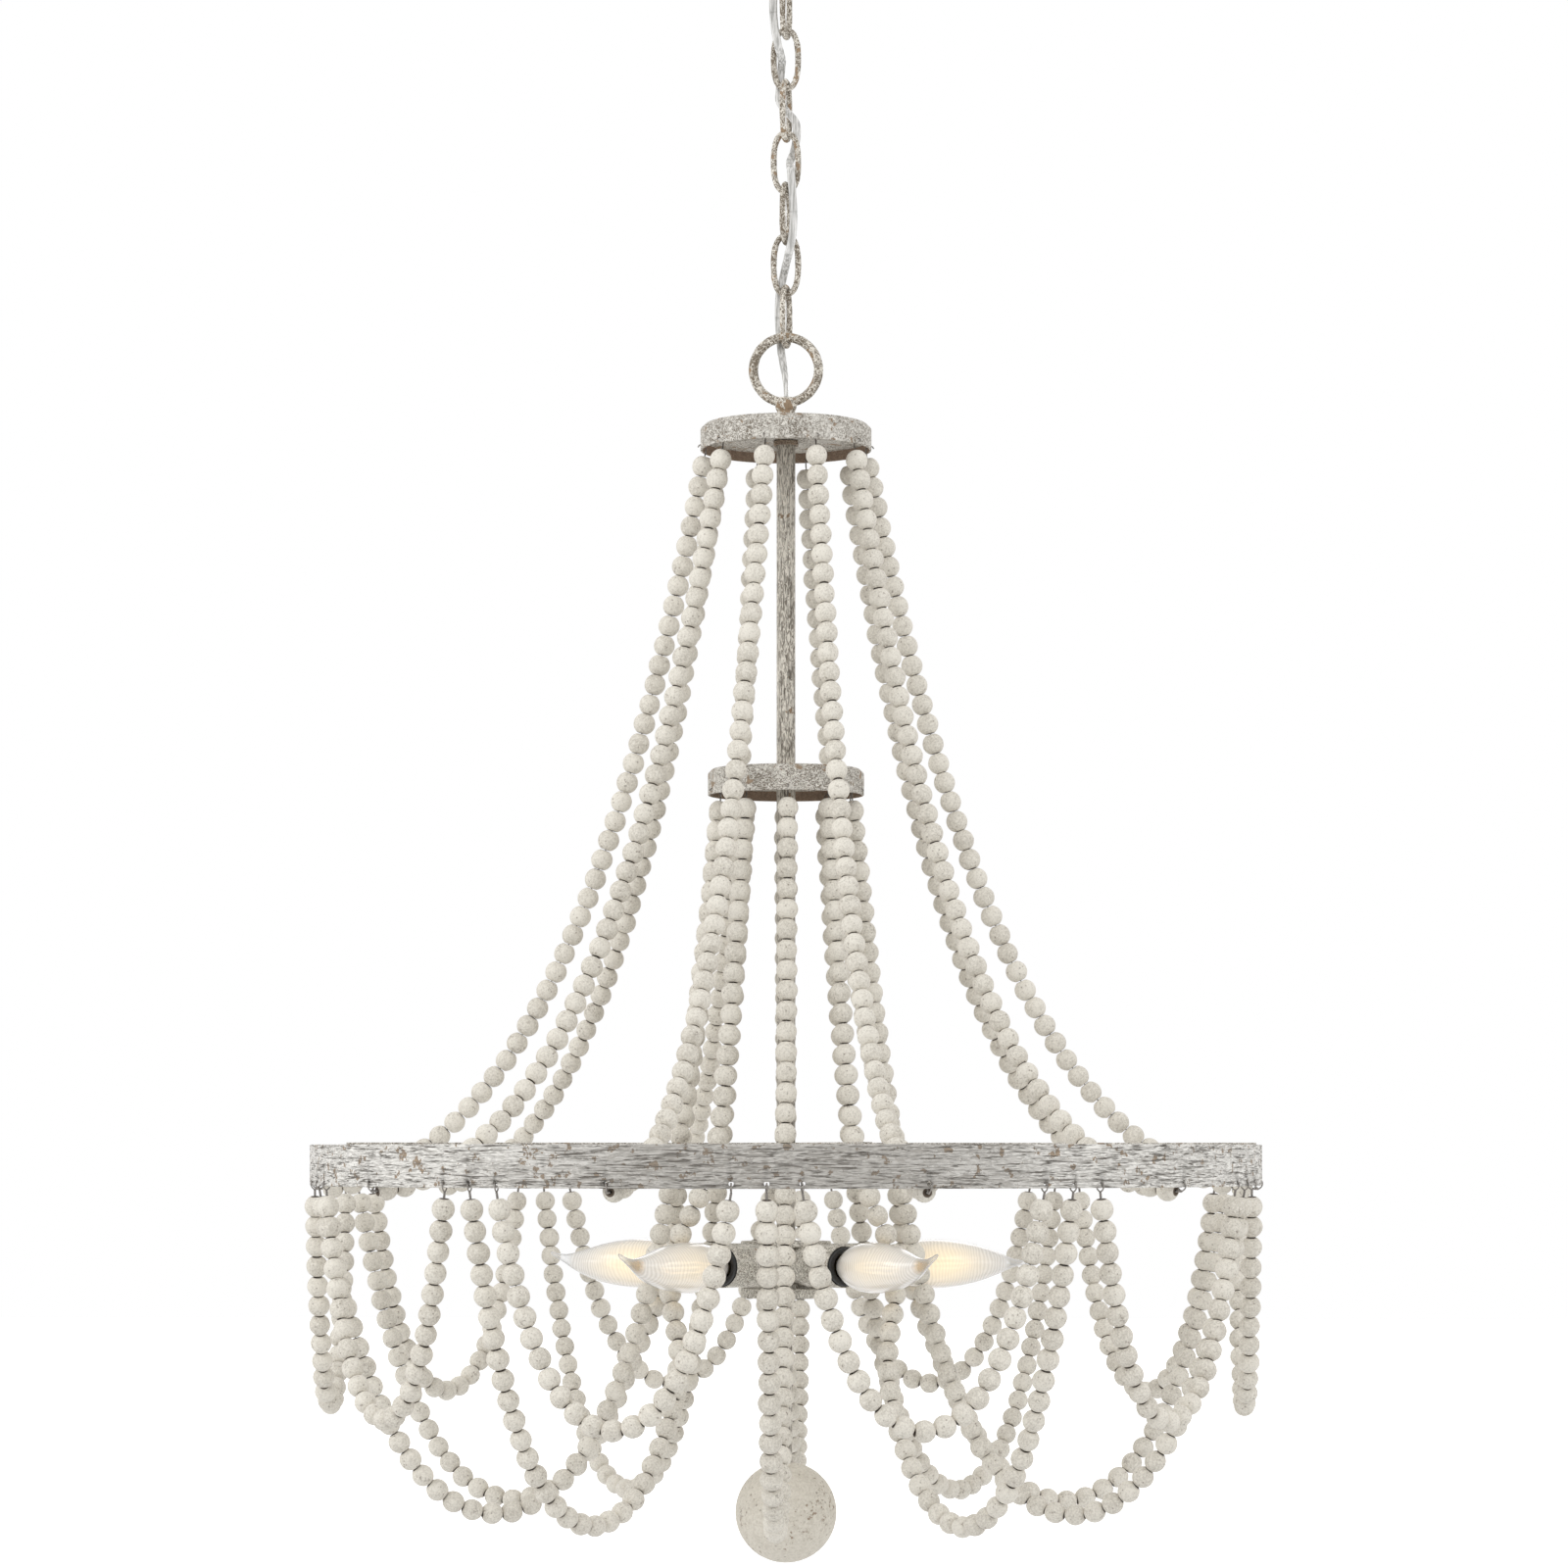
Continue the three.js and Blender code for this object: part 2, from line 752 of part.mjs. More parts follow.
function cordPath() {
  const straight = collarHeight * half;
  const points = [
    new THREE.Vector3(0, 0, -crossbarThickness),
    new THREE.Vector3(0, 0, canopyBottom - collarHeight - straight),
  ];
  const away = (bar) => bar * half + cordRadius + seatGap * 2;
  const crossings = crossingSides.map(([x, y], i) => {
    const atLoop = i === 0 || i === linkCount;
    const fromY = away(atLoop ? loopBar : linkBar);
    const fromTurned = away(linkBar) / Math.sin(chainTurn);
    const slant = (fromY * y) / Math.tan(chainTurn);
    return new THREE.Vector3(x * fromTurned + slant, y * fromY, crossingZ - linkPitch * i);
  });
  const reach = linkWidth * half - linkBar - cordRadius - seatGap * 2;
  crossings.forEach((at, i) => {
    points.push(at);
    const next = crossings[i + 1];
    if (!next) {
      return;
    }
    const turn = linkTurn(i);
    const along = new THREE.Vector3(Math.cos(turn), Math.sin(turn), 0);
    const through = new THREE.Vector3(-Math.sin(turn), Math.cos(turn), 0);
    if (at.dot(through) * next.dot(through) > 0) {
      return;
    }
    const middle = THREE.MathUtils.clamp((at.dot(along) + next.dot(along)) * half, -reach, reach);
    const enter = linkPitch * enterShare;
    const inLink = (from, z) =>
      new THREE.Vector3(0, 0, z)
        .addScaledVector(along, (from.dot(along) + middle) * half)
        .addScaledVector(through, from.dot(through));
    points.push(
      inLink(at, at.z - enter),
      new THREE.Vector3(0, 0, at.z - linkPitch * half).addScaledVector(along, middle),
      inLink(next, next.z + enter),
    );
  });
  points.push(
    new THREE.Vector3(0, 0, capTop + collarHeight + straight),
    new THREE.Vector3(0, 0, capTop),
    new THREE.Vector3(0, 0, hubTop + cordEndAboveHub),
  );
  return points;
}

function cord() {
  const stops = cordPath().map((at) => ({ at, radius: cordRadius, sides: cordSides }));
  const across = () => new THREE.Vector3(1, 0, 0);
  return skin(ringsAlong(stops, across, false), false);
}

// The whole object
const group = new THREE.Group();

group.add(named("canopy", canopy(), finishes.whitewash()));
group.add(named("crossbar", crossbar(), finishes.steel()));

const upperLoop = named(
  "canopy_loop",
  loopOnCollar(canopyDepth - crossbarThickness + seatGap),
  finishes.whitewash(),
);
upperLoop.rotation.x = Math.PI;
upperLoop.position.z = canopyBottom - seatGap;
group.add(upperLoop);

const linkGeometry = bentBar(linkWidth, linkLength, linkBar, linkSides, linkEndSteps);
for (let i = 0; i < linkCount; i += 1) {
  const link = named(`chain_link_${i + 1}`, linkGeometry, finishes.whitewash());
  link.position.z = firstLinkZ - i * linkPitch;
  link.rotation.z = linkTurn(i);
  group.add(link);
}

const lowerLoop = named("top_loop", loopOnCollar(0), finishes.whitewash());
lowerLoop.position.z = capTop + seatGap;
group.add(lowerLoop);
group.add(named("supply_cord", cord(), finishes.cord()));

const topCap = cutHookHoles(
  cap(topCapRadius, topCapHeight),
  topCapRadius,
  sheetWall,
  hookHoleAboveEdge - topCapHeight,
  upperAzimuths.map((a) => a + topCapTurn),
);
const topCapMesh = named("top_cap", topCap, finishes.whitewash());
topCapMesh.position.z = capTop;
group.add(topCapMesh);
const midCap = cutHookHoles(
  cap(midCapRadius, midCapHeight),
  midCapRadius,
  sheetWall,
  hookHoleAboveEdge - midCapHeight,
  innerAzimuths.map((a) => a + midCapTurn),
);
const midCapMesh = named("mid_cap", midCap, finishes.whitewash());
midCapMesh.position.z = midCapTop;
group.add(midCapMesh);

group.add(named("cap_nut", capNut(), finishes.steel()));
group.add(named("stem", stem(), finishes.whitewash()));
group.add(named("spider", spider(), finishes.whitewash()));
group.add(named("ring_band", ringBand(), finishes.whitewash()));
group.add(named("hub", hub(), finishes.whitewash()));

// Which way each bulb's tip is bent: up, or to a side
const tipBends = [
  [0, 1],
  [1, 0],
  [0, 1],
  [-1, 1],
  [0, 1],
].map(([x, z]) => new THREE.Vector3(x, 0, z).normalize());
lampAzimuths.forEach((azimuth, i) => {
  const holder = named(`socket_${i + 1}`, socket(), finishes.socket());
  const lamp = named(`bulb_${i + 1}`, bulb(tipBends[i]), finishes.glass());
  const arm = new THREE.Group();
  arm.position.z = lampZ;
  arm.rotation.z = azimuth;
  arm.add(holder, lamp);
  group.add(arm);
});

const ballMesh = named("ball_finial", ball(), finishes.beads());
ballMesh.position.z = ballZ;
group.add(ballMesh);

upperAzimuths.forEach((azimuth, i) => {
  group.add(named(`upper_strand_${i + 1}`, upperStrand(azimuth), finishes.beads()));
});
innerAzimuths.forEach((azimuth, i) => {
  group.add(named(`inner_strand_${i + 1}`, innerStrand(azimuth), finishes.beads()));
});
swagAzimuths.forEach((azimuth, i) => {
  group.add(named(`swag_${i + 1}`, swagStrand(azimuth), finishes.beads()));
});

export default group;
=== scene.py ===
# The looks of a beaded chandelier: strings of whitewashed wooden beads on a distressed metal
# frame, with candle bulbs round a hub. Metres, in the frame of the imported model.
import json
import math
import random

import bpy
import numpy as np
from mathutils import Matrix, Vector

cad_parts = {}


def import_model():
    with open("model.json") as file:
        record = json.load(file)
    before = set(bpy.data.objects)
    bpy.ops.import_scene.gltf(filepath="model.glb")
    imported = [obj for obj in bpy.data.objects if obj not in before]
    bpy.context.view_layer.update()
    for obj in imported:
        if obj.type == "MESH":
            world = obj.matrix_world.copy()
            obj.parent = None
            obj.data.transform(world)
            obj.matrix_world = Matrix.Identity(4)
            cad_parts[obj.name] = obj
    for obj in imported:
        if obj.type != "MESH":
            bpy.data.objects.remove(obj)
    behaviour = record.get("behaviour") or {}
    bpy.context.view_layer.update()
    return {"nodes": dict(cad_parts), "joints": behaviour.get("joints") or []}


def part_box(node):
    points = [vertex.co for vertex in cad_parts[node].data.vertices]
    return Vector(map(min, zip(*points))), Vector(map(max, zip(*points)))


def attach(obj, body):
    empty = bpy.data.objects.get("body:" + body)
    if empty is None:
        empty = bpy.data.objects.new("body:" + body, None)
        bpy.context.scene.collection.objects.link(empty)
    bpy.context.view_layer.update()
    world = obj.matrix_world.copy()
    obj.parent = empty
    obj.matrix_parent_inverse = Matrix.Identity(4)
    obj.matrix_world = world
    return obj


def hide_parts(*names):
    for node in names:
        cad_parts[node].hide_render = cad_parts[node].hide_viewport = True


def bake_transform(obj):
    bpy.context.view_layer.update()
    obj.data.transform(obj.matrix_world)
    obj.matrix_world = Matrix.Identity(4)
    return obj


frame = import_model()

FULL_TURN = 2 * math.pi
MM = 0.001
draw = random.Random(7)

# Levels and radii, from the frame
canopy_low, canopy_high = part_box("canopy")
band_low, band_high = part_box("ring_band")
top_cap_low, top_cap_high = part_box("top_cap")
mid_cap_low, mid_cap_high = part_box("mid_cap")
hub_low, hub_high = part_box("hub")
stem_low, stem_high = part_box("stem")
ball_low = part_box("ball_finial")[0]
plate_low, plate_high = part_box("spider")
nut_low, nut_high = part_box("cap_nut")
BAND_RADIUS = band_high[0]
BAND_WALL = 3 * MM
BAND_BOTTOM = band_low[2]
BAND_TOP = band_high[2]
LAMP_Z = (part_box("socket_1")[0][2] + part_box("socket_1")[1][2]) / 2
TOP_CAP_RADIUS = top_cap_high[1]
MID_CAP_RADIUS = 50.25 * MM
CAP_PLATE_ABOVE_RIM = 6.5 * MM
SHEET_WALL = 1.5 * MM
STEM_RADIUS = 6 * MM
CORD_BORE = 3.6 * MM
SEAT_GAP = 0.3 * MM

# Strands
BEAD_DIAMETER = 13.5 * MM
BEAD_PITCH = 13.05 * MM
LEADER = 4 * MM
FIRST_BEAD_SHARE = 1.2
END_BELOW_EDGE = 2.5 * MM
WIRE_RADIUS = 0.45 * MM
HOLE_ABOVE_EDGE = 3 * MM
HOLE_RADIUS = 1.7 * MM
HOOK_ASIDE = 0.0016
SWAG_HALF_ANGLE = math.radians(14.1)
STRANDS = 10
TOP_CAP_TURN = math.radians(5.5)
MID_CAP_TURN = math.radians(3.5)
SPOKE_AZIMUTH = math.radians(11)
UPPER_BEADS = 43
UPPER_INSET = 1.9 * MM
INNER_BEADS = 57
INNER_INSET = 4.6 * MM
SWAG_BEADS = 25
SIDESTEP_REACH = 45 * MM
SIDESTEP_GAP = 1 * MM
BULB_RADIUS = 16 * MM
BULB_LENGTH = 98 * MM
LAMPS = 5
LAMP_AZIMUTHS = [FULL_TURN / LAMPS * (i + 0.5) for i in range(LAMPS)]

# Camera, at the photograph's angle
PHOTO_SIZE = 1600
HORIZON_ROW = 1175
CAP_TOP_ROW = 434
AXIS_COLUMN = 802
FOCAL_PIXELS = 4700
SENSOR = 36
METRES_PER_PIXEL = 0.631 * MM
CAMERA_DISTANCE = FOCAL_PIXELS * METRES_PER_PIXEL
CAMERA_AZIMUTH = math.radians(2.1)
HORIZON_BELOW_CAP = (HORIZON_ROW - CAP_TOP_ROW) * METRES_PER_PIXEL

camera_data = bpy.data.cameras.new("camera")
camera_data.sensor_width = SENSOR
camera_data.lens = SENSOR * CAMERA_DISTANCE / (PHOTO_SIZE * METRES_PER_PIXEL)
camera_data.shift_y = (HORIZON_ROW - PHOTO_SIZE / 2) / PHOTO_SIZE
camera_data.shift_x = (PHOTO_SIZE / 2 - AXIS_COLUMN) / PHOTO_SIZE
camera = bpy.data.objects.new("camera", camera_data)
camera.location = (
    CAMERA_DISTANCE * math.sin(CAMERA_AZIMUTH),
    -CAMERA_DISTANCE * math.cos(CAMERA_AZIMUTH),
    top_cap_high[2] - HORIZON_BELOW_CAP,
)
camera.rotation_euler = (math.pi / 2, 0, CAMERA_AZIMUTH)
bpy.context.scene.collection.objects.link(camera)
bpy.context.scene.camera = camera


# Small helpers for meshes
ON_AXIS = 1e-7
TINY = 1e-6
CORNER_REACH_SHARE = 0.45


def place(radius, azimuth, z=0.0):
    """A point at a radius; azimuth 0 is the front and a quarter turn is the right side."""
    return Vector((radius * math.sin(azimuth), -radius * math.cos(azimuth), z))


def piece(name, vertices, faces, materials, body, slot, replaces=(), smooth=True):
    """A mesh that rides on a body and stands for the nodes named; its slot is not used."""
    mesh = bpy.data.meshes.new(name)
    mesh.from_pydata([tuple(v) for v in vertices], [], faces)
    mesh.validate()
    mesh.update()
    for material in materials:
        mesh.materials.append(material)
    mesh.polygons.foreach_set("use_smooth", [smooth] * len(mesh.polygons))
    thing = bpy.data.objects.new(name, mesh)
    bpy.context.scene.collection.objects.link(thing)
    if body is not None:
        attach(thing, body)
    for node in replaces:
        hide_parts(node)
    return thing


def rings_to_faces(rings, closed_row=False):
    """Vertices and quads over rings of equal size, with flat ends unless the row closes."""
    count = len(rings[0])
    vertices = [v for ring in rings for v in ring]
    faces = []
    rows = len(rings)
    for k in range(rows if closed_row else rows - 1):
        a = k * count
        b = ((k + 1) % rows) * count
        for i in range(count):
            j = (i + 1) % count
            faces.append((a + i, a + j, b + j, b + i))
    if not closed_row:
        faces.append(tuple(reversed(range(count))))
        faces.append(tuple((rows - 1) * count + i for i in range(count)))
    return vertices, faces


def revolve(profile, segments, closed=False):
    """A profile of (radius, height) turned about Z; points on the axis become one vertex."""
    vertices = []
    rows = []
    for radius, z in profile:
        if radius < ON_AXIS:
            rows.append([len(vertices)] * segments)
            vertices.append(Vector((0, 0, z)))
            continue
        rows.append([len(vertices) + i for i in range(segments)])
        vertices.extend(place(radius, FULL_TURN * i / segments, z) for i in range(segments))
    faces = []
    count = len(rows)
    for k in range(count if closed else count - 1):
        low, high = rows[k], rows[(k + 1) % count]
        for i in range(segments):
            j = (i + 1) % segments
            face = []
            for v in (low[i], low[j], high[j], high[i]):
                if v not in face:
                    face.append(v)
            if len(face) > 2:
                faces.append(tuple(face))
    return vertices, faces


def rounded(profile, radius, steps=3):
    """The profile with each inner corner replaced by a short arc of about that radius."""
    out = [profile[0]]
    for before, corner, after in zip(profile, profile[1:], profile[2:]):
        c = Vector(corner)
        to_before = Vector(before) - c
        to_after = Vector(after) - c
        reach = min(radius, *(v.length * CORNER_REACH_SHARE for v in (to_before, to_after)))
        a = c + to_before.normalized() * reach
        b = c + to_after.normalized() * reach
        for i in range(steps + 1):
            t = i / steps
            out.append(tuple((a * (1 - t) + c * t) * (1 - t) + (c * (1 - t) + b * t) * t))
    out.append(profile[-1])
    return out


def closed_round(profile, radius, steps=3):
    """As rounded, for a profile that closes on itself."""
    looped = [profile[-1], *profile, profile[0]]
    return rounded(looped, radius, steps)[1:-1]


def swept(path, section, sideways, closed=False):
    """Rings of a section, given as (side, up) pairs, across each point of a path."""
    rings = []
    count = len(path)
    for k, at in enumerate(path):
        before = path[k - 1] if closed or k else path[0]
        after = path[(k + 1) % count] if closed or k + 1 < count else path[-1]
        along = (after - before).normalized()
        flat = sideways(k)
        side = (flat - along * flat.dot(along)).normalized()
        up = along.cross(side)
        shape = section(k) if callable(section) else section
        rings.append([at + side * s + up * u for s, u in shape])
    return rings_to_faces(rings, closed_row=closed)


def circle(radius, count):
    angles = [FULL_TURN * i / count for i in range(count)]
    return [(radius * math.cos(angle), radius * math.sin(angle)) for angle in angles]


def merged(*parts):
    """Several (vertices, faces) as one."""
    vertices = []
    faces = []
    for part_vertices, part_faces in parts:
        start = len(vertices)
        vertices.extend(part_vertices)
        faces.extend(tuple(start + i for i in face) for face in part_faces)
    return vertices, faces


def moved(part, matrix):
    vertices, faces = part
    return [matrix @ v for v in vertices], faces


def turned(profile, segments, radius, steps=3):
    """A closed profile with soft corners turned about Z."""
    return revolve(closed_round(profile, radius, steps), segments, closed=True)


# Materials
class Shade:
    """A material's or a group's node tree, with short ways to add and join nodes."""

    def __init__(self, tree):
        self.tree = tree

    def add(self, kind, settings=None, **inputs):
        made = self.tree.nodes.new(kind)
        for key, value in (settings or {}).items():
            setattr(made, key, value)
        for key, value in inputs.items():
            self.put(made, key.replace("_", " "), value)
        return made

    def put(self, made, key, value):
        socket = made.inputs[int(key[1:])] if key[0] == "#" else made.inputs[key]
        if isinstance(value, bpy.types.NodeSocket):
            self.tree.links.new(value, socket)
        else:
            socket.default_value = value

    def noise(self, vector, scale, detail, roughness=0.5, distortion=0.0):
        made = self.add("ShaderNodeTexNoise", Vector=vector, Scale=scale, Detail=detail)
        self.put(made, "Roughness", roughness)
        self.put(made, "Distortion", distortion)
        return made.outputs["Fac"]

    def cells(self, vector, scale, feature="F1"):
        made = self.add("ShaderNodeTexVoronoi", {"feature": feature}, Vector=vector, Scale=scale)
        return made.outputs["Distance"]

    def between(self, value, low, high, to_low=0.0, to_high=1.0):
        made = self.add("ShaderNodeMapRange", Value=value)
        ends = {"From Min": low, "From Max": high, "To Min": to_low, "To Max": to_high}
        for key, number in ends.items():
            self.put(made, key, number)
        return made.outputs["Result"]

    def math(self, operation, a, b=None):
        made = self.add("ShaderNodeMath", {"operation": operation})
        self.put(made, "#0", a)
        if b is not None:
            self.put(made, "#1", b)
        return made.outputs[0]

    def plus(self, a, b):
        return self.math("ADD", a, b)

    def minus(self, a, b):
        return self.math("SUBTRACT", a, b)

    def times(self, a, b):
        return self.math("MULTIPLY", a, b)

    def larger(self, a, b):
        return self.math("MAXIMUM", a, b)

    def from_middle(self, value):
        """How far a noise is from its middle value, which draws its contour lines."""
        return self.math("ABSOLUTE", self.minus(value, 0.5))

    def group(self, tree, **inputs):
        return self.add("ShaderNodeGroup", {"node_tree": tree}, **inputs)

    def attribute(self, name):
        return self.add("ShaderNodeAttribute", {"attribute_name": name}).outputs["Fac"]

    def mix(self, share, a, b, blend="MIX"):
        made = self.add("ShaderNodeMix", {"data_type": "RGBA", "blend_type": blend})
        for key, value in (("#0", share), ("#6", a), ("#7", b)):
            self.put(made, key, value)
        return made.outputs[2]

    def stretched(self, vector, scale):
        made = self.add("ShaderNodeMapping", Vector=vector)
        made.inputs["Scale"].default_value = scale
        return made.outputs["Vector"]


def group_of(name, inputs, outputs):
    """A shader node group; gives its Shade, the sockets handed in, and the node that puts out."""
    tree = bpy.data.node_groups.new(name, "ShaderNodeTree")
    for socket_name, kind, *value in inputs:
        socket = tree.interface.new_socket(socket_name, in_out="INPUT", socket_type=kind)
        if value:
            socket.default_value = value[0]
    for socket_name, kind in outputs:
        tree.interface.new_socket(socket_name, in_out="OUTPUT", socket_type=kind)
    shade = Shade(tree)
    return shade, shade.add("NodeGroupInput").outputs, shade.add("NodeGroupOutput")


COLOR = "NodeSocketColor"
FLOAT = "NodeSocketFloat"
VECTOR = "NodeSocketVector"


def worn_paint_group():
    """Whitewash that has shrunk into curls over dark metal, with brown chips pale at the edge."""
    shade, given, out = group_of(
        "worn_paint",
        [
            ("Place", VECTOR), ("Chip Place", VECTOR), ("Grain", FLOAT), ("Pale", COLOR),
            ("Dark", COLOR), ("Chip", COLOR), ("Wear", FLOAT), ("Soft", FLOAT), ("Cloud", FLOAT),
            ("Chips", FLOAT),
        ],
        [("Color", COLOR), ("Height", FLOAT), ("Roughness", FLOAT)],
    )
    place_at = given["Place"]
    curl = shade.noise(place_at, given["Grain"], 1.5, distortion=1.2)
    ridge = shade.between(shade.from_middle(curl), 0.0, 0.11, 1.0, 0.0)
    fine = shade.noise(place_at, shade.times(given["Grain"], 2.3), 3.0, 0.7)
    cloud = shade.noise(place_at, shade.times(given["Grain"], 0.12), 3.0, 0.6)
    tone = shade.plus(shade.times(ridge, 0.52), shade.times(fine, 0.40))
    drift = shade.times(shade.minus(cloud, 0.5), given["Cloud"])
    tone = shade.plus(shade.plus(tone, drift), 0.375)
    whole = shade.between(tone, given["Wear"], shade.plus(given["Wear"], given["Soft"]))
    paint = shade.mix(whole, given["Dark"], given["Pale"])
    chip_noise = shade.noise(given["Chip Place"], 95.0, 5.0, 0.62)
    edge = shade.between(chip_noise, shade.minus(given["Chips"], 0.03), given["Chips"])
    paint = shade.mix(shade.times(edge, 0.75), paint, given["Pale"])
    chip = shade.between(chip_noise, given["Chips"], shade.plus(given["Chips"], 0.012))
    dull_chip = shade.mix(0.45, given["Chip"], given["Dark"])
    spotted = shade.mix(shade.between(fine, 0.35, 0.65), dull_chip, given["Chip"])
    shade.put(out, "Color", shade.mix(chip, paint, spotted))
    height = shade.minus(tone, shade.times(chip, 0.6))
    shade.put(out, "Height", height)
    shade.put(out, "Roughness", shade.between(fine, 0.3, 0.7, 0.6, 0.85))
    return shade.tree


def streaks_group():
    """Brushed grain along one way: thin broken dark lines and soft streaks of tone."""
    shade, given, out = group_of(
        "brushed_grain",
        [("Place", VECTOR), ("Scale", FLOAT)],
        [("Lines", FLOAT), ("Tone", FLOAT)],
    )
    place_at = given["Place"]
    off = shade.from_middle(shade.noise(place_at, given["Scale"], 3.0, distortion=0.5))
    contour = shade.between(off, 0.012, 0.045, 1.0, 0.0)
    broken = shade.noise(place_at, shade.times(given["Scale"], 2.1), 3.0, 0.6)
    thin = shade.times(contour, shade.between(broken, 0.44, 0.54))
    broad = shade.between(broken, 0.62, 0.66)
    shade.put(out, "Lines", shade.larger(thin, broad))
    second = shade.noise(place_at, shade.times(given["Scale"], 2.6), 4.0, 0.65)
    shade.put(out, "Tone", shade.between(second, 0.32, 0.68))
    return shade.tree


def limed_wood_group():
    """Whitewashed turned wood: soft clouds of tone, a fine speckle, a few pits and cracks."""
    shade, given, out = group_of(
        "limed_wood",
        [
            ("Place", VECTOR),
            ("Pale", COLOR, (0.765, 0.73, 0.655, 1)),
            ("Deep", COLOR, (0.47, 0.435, 0.375, 1)),
            ("Speckle", FLOAT, 820.0),
            ("Tint", FLOAT),
        ],
        [("Color", COLOR), ("Height", FLOAT), ("Roughness", FLOAT)],
    )
    place_at = given["Place"]
    cloud = shade.noise(place_at, 170.0, 3.0, 0.6)
    grain = shade.noise(place_at, given["Speckle"], 3.0, 0.75)
    tone = shade.plus(shade.times(cloud, 0.25), shade.times(grain, 0.75))
    tone = shade.plus(tone, shade.times(given["Tint"], 0.09))
    base = shade.mix(shade.between(tone, 0.36, 0.62), given["Deep"], given["Pale"])
    pit = shade.cells(place_at, shade.times(given["Speckle"], 0.48))
    sparse = shade.noise(place_at, 210.0, 2.0)
    pits = shade.times(shade.between(pit, 0.30, 0.14), shade.between(sparse, 0.545, 0.60))
    bent = shade.add("ShaderNodeTexNoise", Vector=place_at, Scale=420.0, Detail=2.0)
    bent = shade.mix(0.0022, place_at, bent.outputs["Color"], "ADD")
    crack = shade.cells(bent, shade.times(given["Speckle"], 0.45), "DISTANCE_TO_EDGE")
    rare = shade.noise(place_at, 95.0, 3.0, 0.6)
    cracks = shade.times(shade.between(crack, 0.06, 0.015), shade.between(rare, 0.645, 0.68))
    worn = shade.larger(pits, cracks)
    shade.put(out, "Color", shade.mix(shade.times(worn, 0.6), base, (0.16, 0.12, 0.09, 1)))
    height = shade.minus(shade.times(grain, 0.6), worn)
    shade.put(out, "Height", height)
    shade.put(out, "Roughness", shade.between(grain, 0.3, 0.7, 0.62, 0.82))
    return shade.tree


WORN_PAINT = worn_paint_group()
BRUSHED_GRAIN = streaks_group()
LIMED_WOOD = limed_wood_group()


def new_material(name):
    material = bpy.data.materials.new(name)
    material.use_nodes = True
    material.node_tree.nodes.clear()
    shade = Shade(material.node_tree)
    surface = shade.add("ShaderNodeBsdfPrincipled")
    target = shade.add("ShaderNodeOutputMaterial")
    shade.put(target, "Surface", surface.outputs[0])
    return material, shade, surface


def object_place(shade):
    return shade.add("ShaderNodeTexCoord").outputs["Object"]


def cover(shade, surface, color, roughness, height, strength, distance):
    """Gives a surface its colour, its roughness, and a height that reads as fine relief."""
    shade.put(surface, "Base Color", color)
    shade.put(surface, "Roughness", roughness)
    relief = shade.add("ShaderNodeBump", Height=height, Strength=strength, Distance=distance)
    shade.put(surface, "Normal", relief.outputs["Normal"])


def opaque(color, share=1.0):
    """A colour, made paler or darker by a share, with full alpha."""
    return (*(c * share for c in color), 1)


def worn_metal(
    name, grain, pale, dark, chip, wear, chips, strength, soft=0.42, cloud=0.75, chip_size=(1, 1, 1),
    stretch=None, brush=None, brush_scale=None, line_share=0.0, middle_shade_reach=None,
):
    """Distressed paint. Stretch and brush draw its grain out along a band's or tube's long way, and a
    given reach paints shade over a band's front and back, away from its left and right sides.
    """
    material, shade, surface = new_material(name)
    place_at = object_place(shade)
    paint = shade.group(
        WORN_PAINT, Grain=grain, Pale=opaque(pale), Dark=opaque(dark), Chip=opaque(chip),
        Chips=chips, Wear=wear, Soft=soft, Cloud=cloud,
    )
    shade.put(paint, "Chip Place", shade.stretched(place_at, chip_size))
    shade.put(paint, "Place", place_at if stretch is None else shade.stretched(place_at, stretch))
    color = paint.outputs["Color"]
    height = paint.outputs["Height"]
    # Painted shade: the colour darkens towards the band's front and back, where x is near zero, and
    # stays pale at its left and right sides, as side lights leave it.
    if middle_shade_reach is not None:
        across = shade.add("ShaderNodeSeparateXYZ", Vector=place_at).outputs["X"]
        uneven = shade.times(shade.noise(place_at, 9.0, 3.0, 0.55), 0.2)
        side = shade.plus(shade.math("ABSOLUTE", across), uneven)
        thin = shade.between(side, middle_shade_reach, middle_shade_reach + 0.14, 0.48, 0.0)
        color = shade.mix(thin, color, opaque(dark, 1.1))
    if brush is not None:
        streaks = shade.group(BRUSHED_GRAIN, Place=shade.stretched(place_at, brush), Scale=brush_scale)
        lines = shade.times(streaks.outputs["Lines"], line_share)
        dimmed = shade.between(streaks.outputs["Tone"], 0.0, 1.0, 0.32, 0.0)
        color = shade.mix(dimmed, color, opaque(dark))
        color = shade.mix(lines, color, opaque(dark, 0.7))
        height = shade.minus(height, shade.times(lines, 0.5))
    cover(shade, surface, color, paint.outputs["Roughness"], height, strength, 0.5 * MM)
    surface.inputs["Specular IOR Level"].default_value = 0.3
    return material


def bead_material():
    """Limed wood in a tint of its own on each bead, with painted shade, near black, over its flat ends
    and hole, where it meets the next bead.
    """
    material, shade, surface = new_material("limed_beads")
    wood = shade.group(LIMED_WOOD, Place=object_place(shade), Tint=shade.attribute("tint"))
    # Painted shade: the flat ends where beads touch are near black.
    color = shade.mix(shade.attribute("end_shade"), wood.outputs["Color"], (0.10, 0.075, 0.055, 1))
    cover(shade, surface, color, wood.outputs["Roughness"], wood.outputs["Height"], 0.6, 0.35 * MM)
    surface.inputs["Specular IOR Level"].default_value = 0.25
    return material


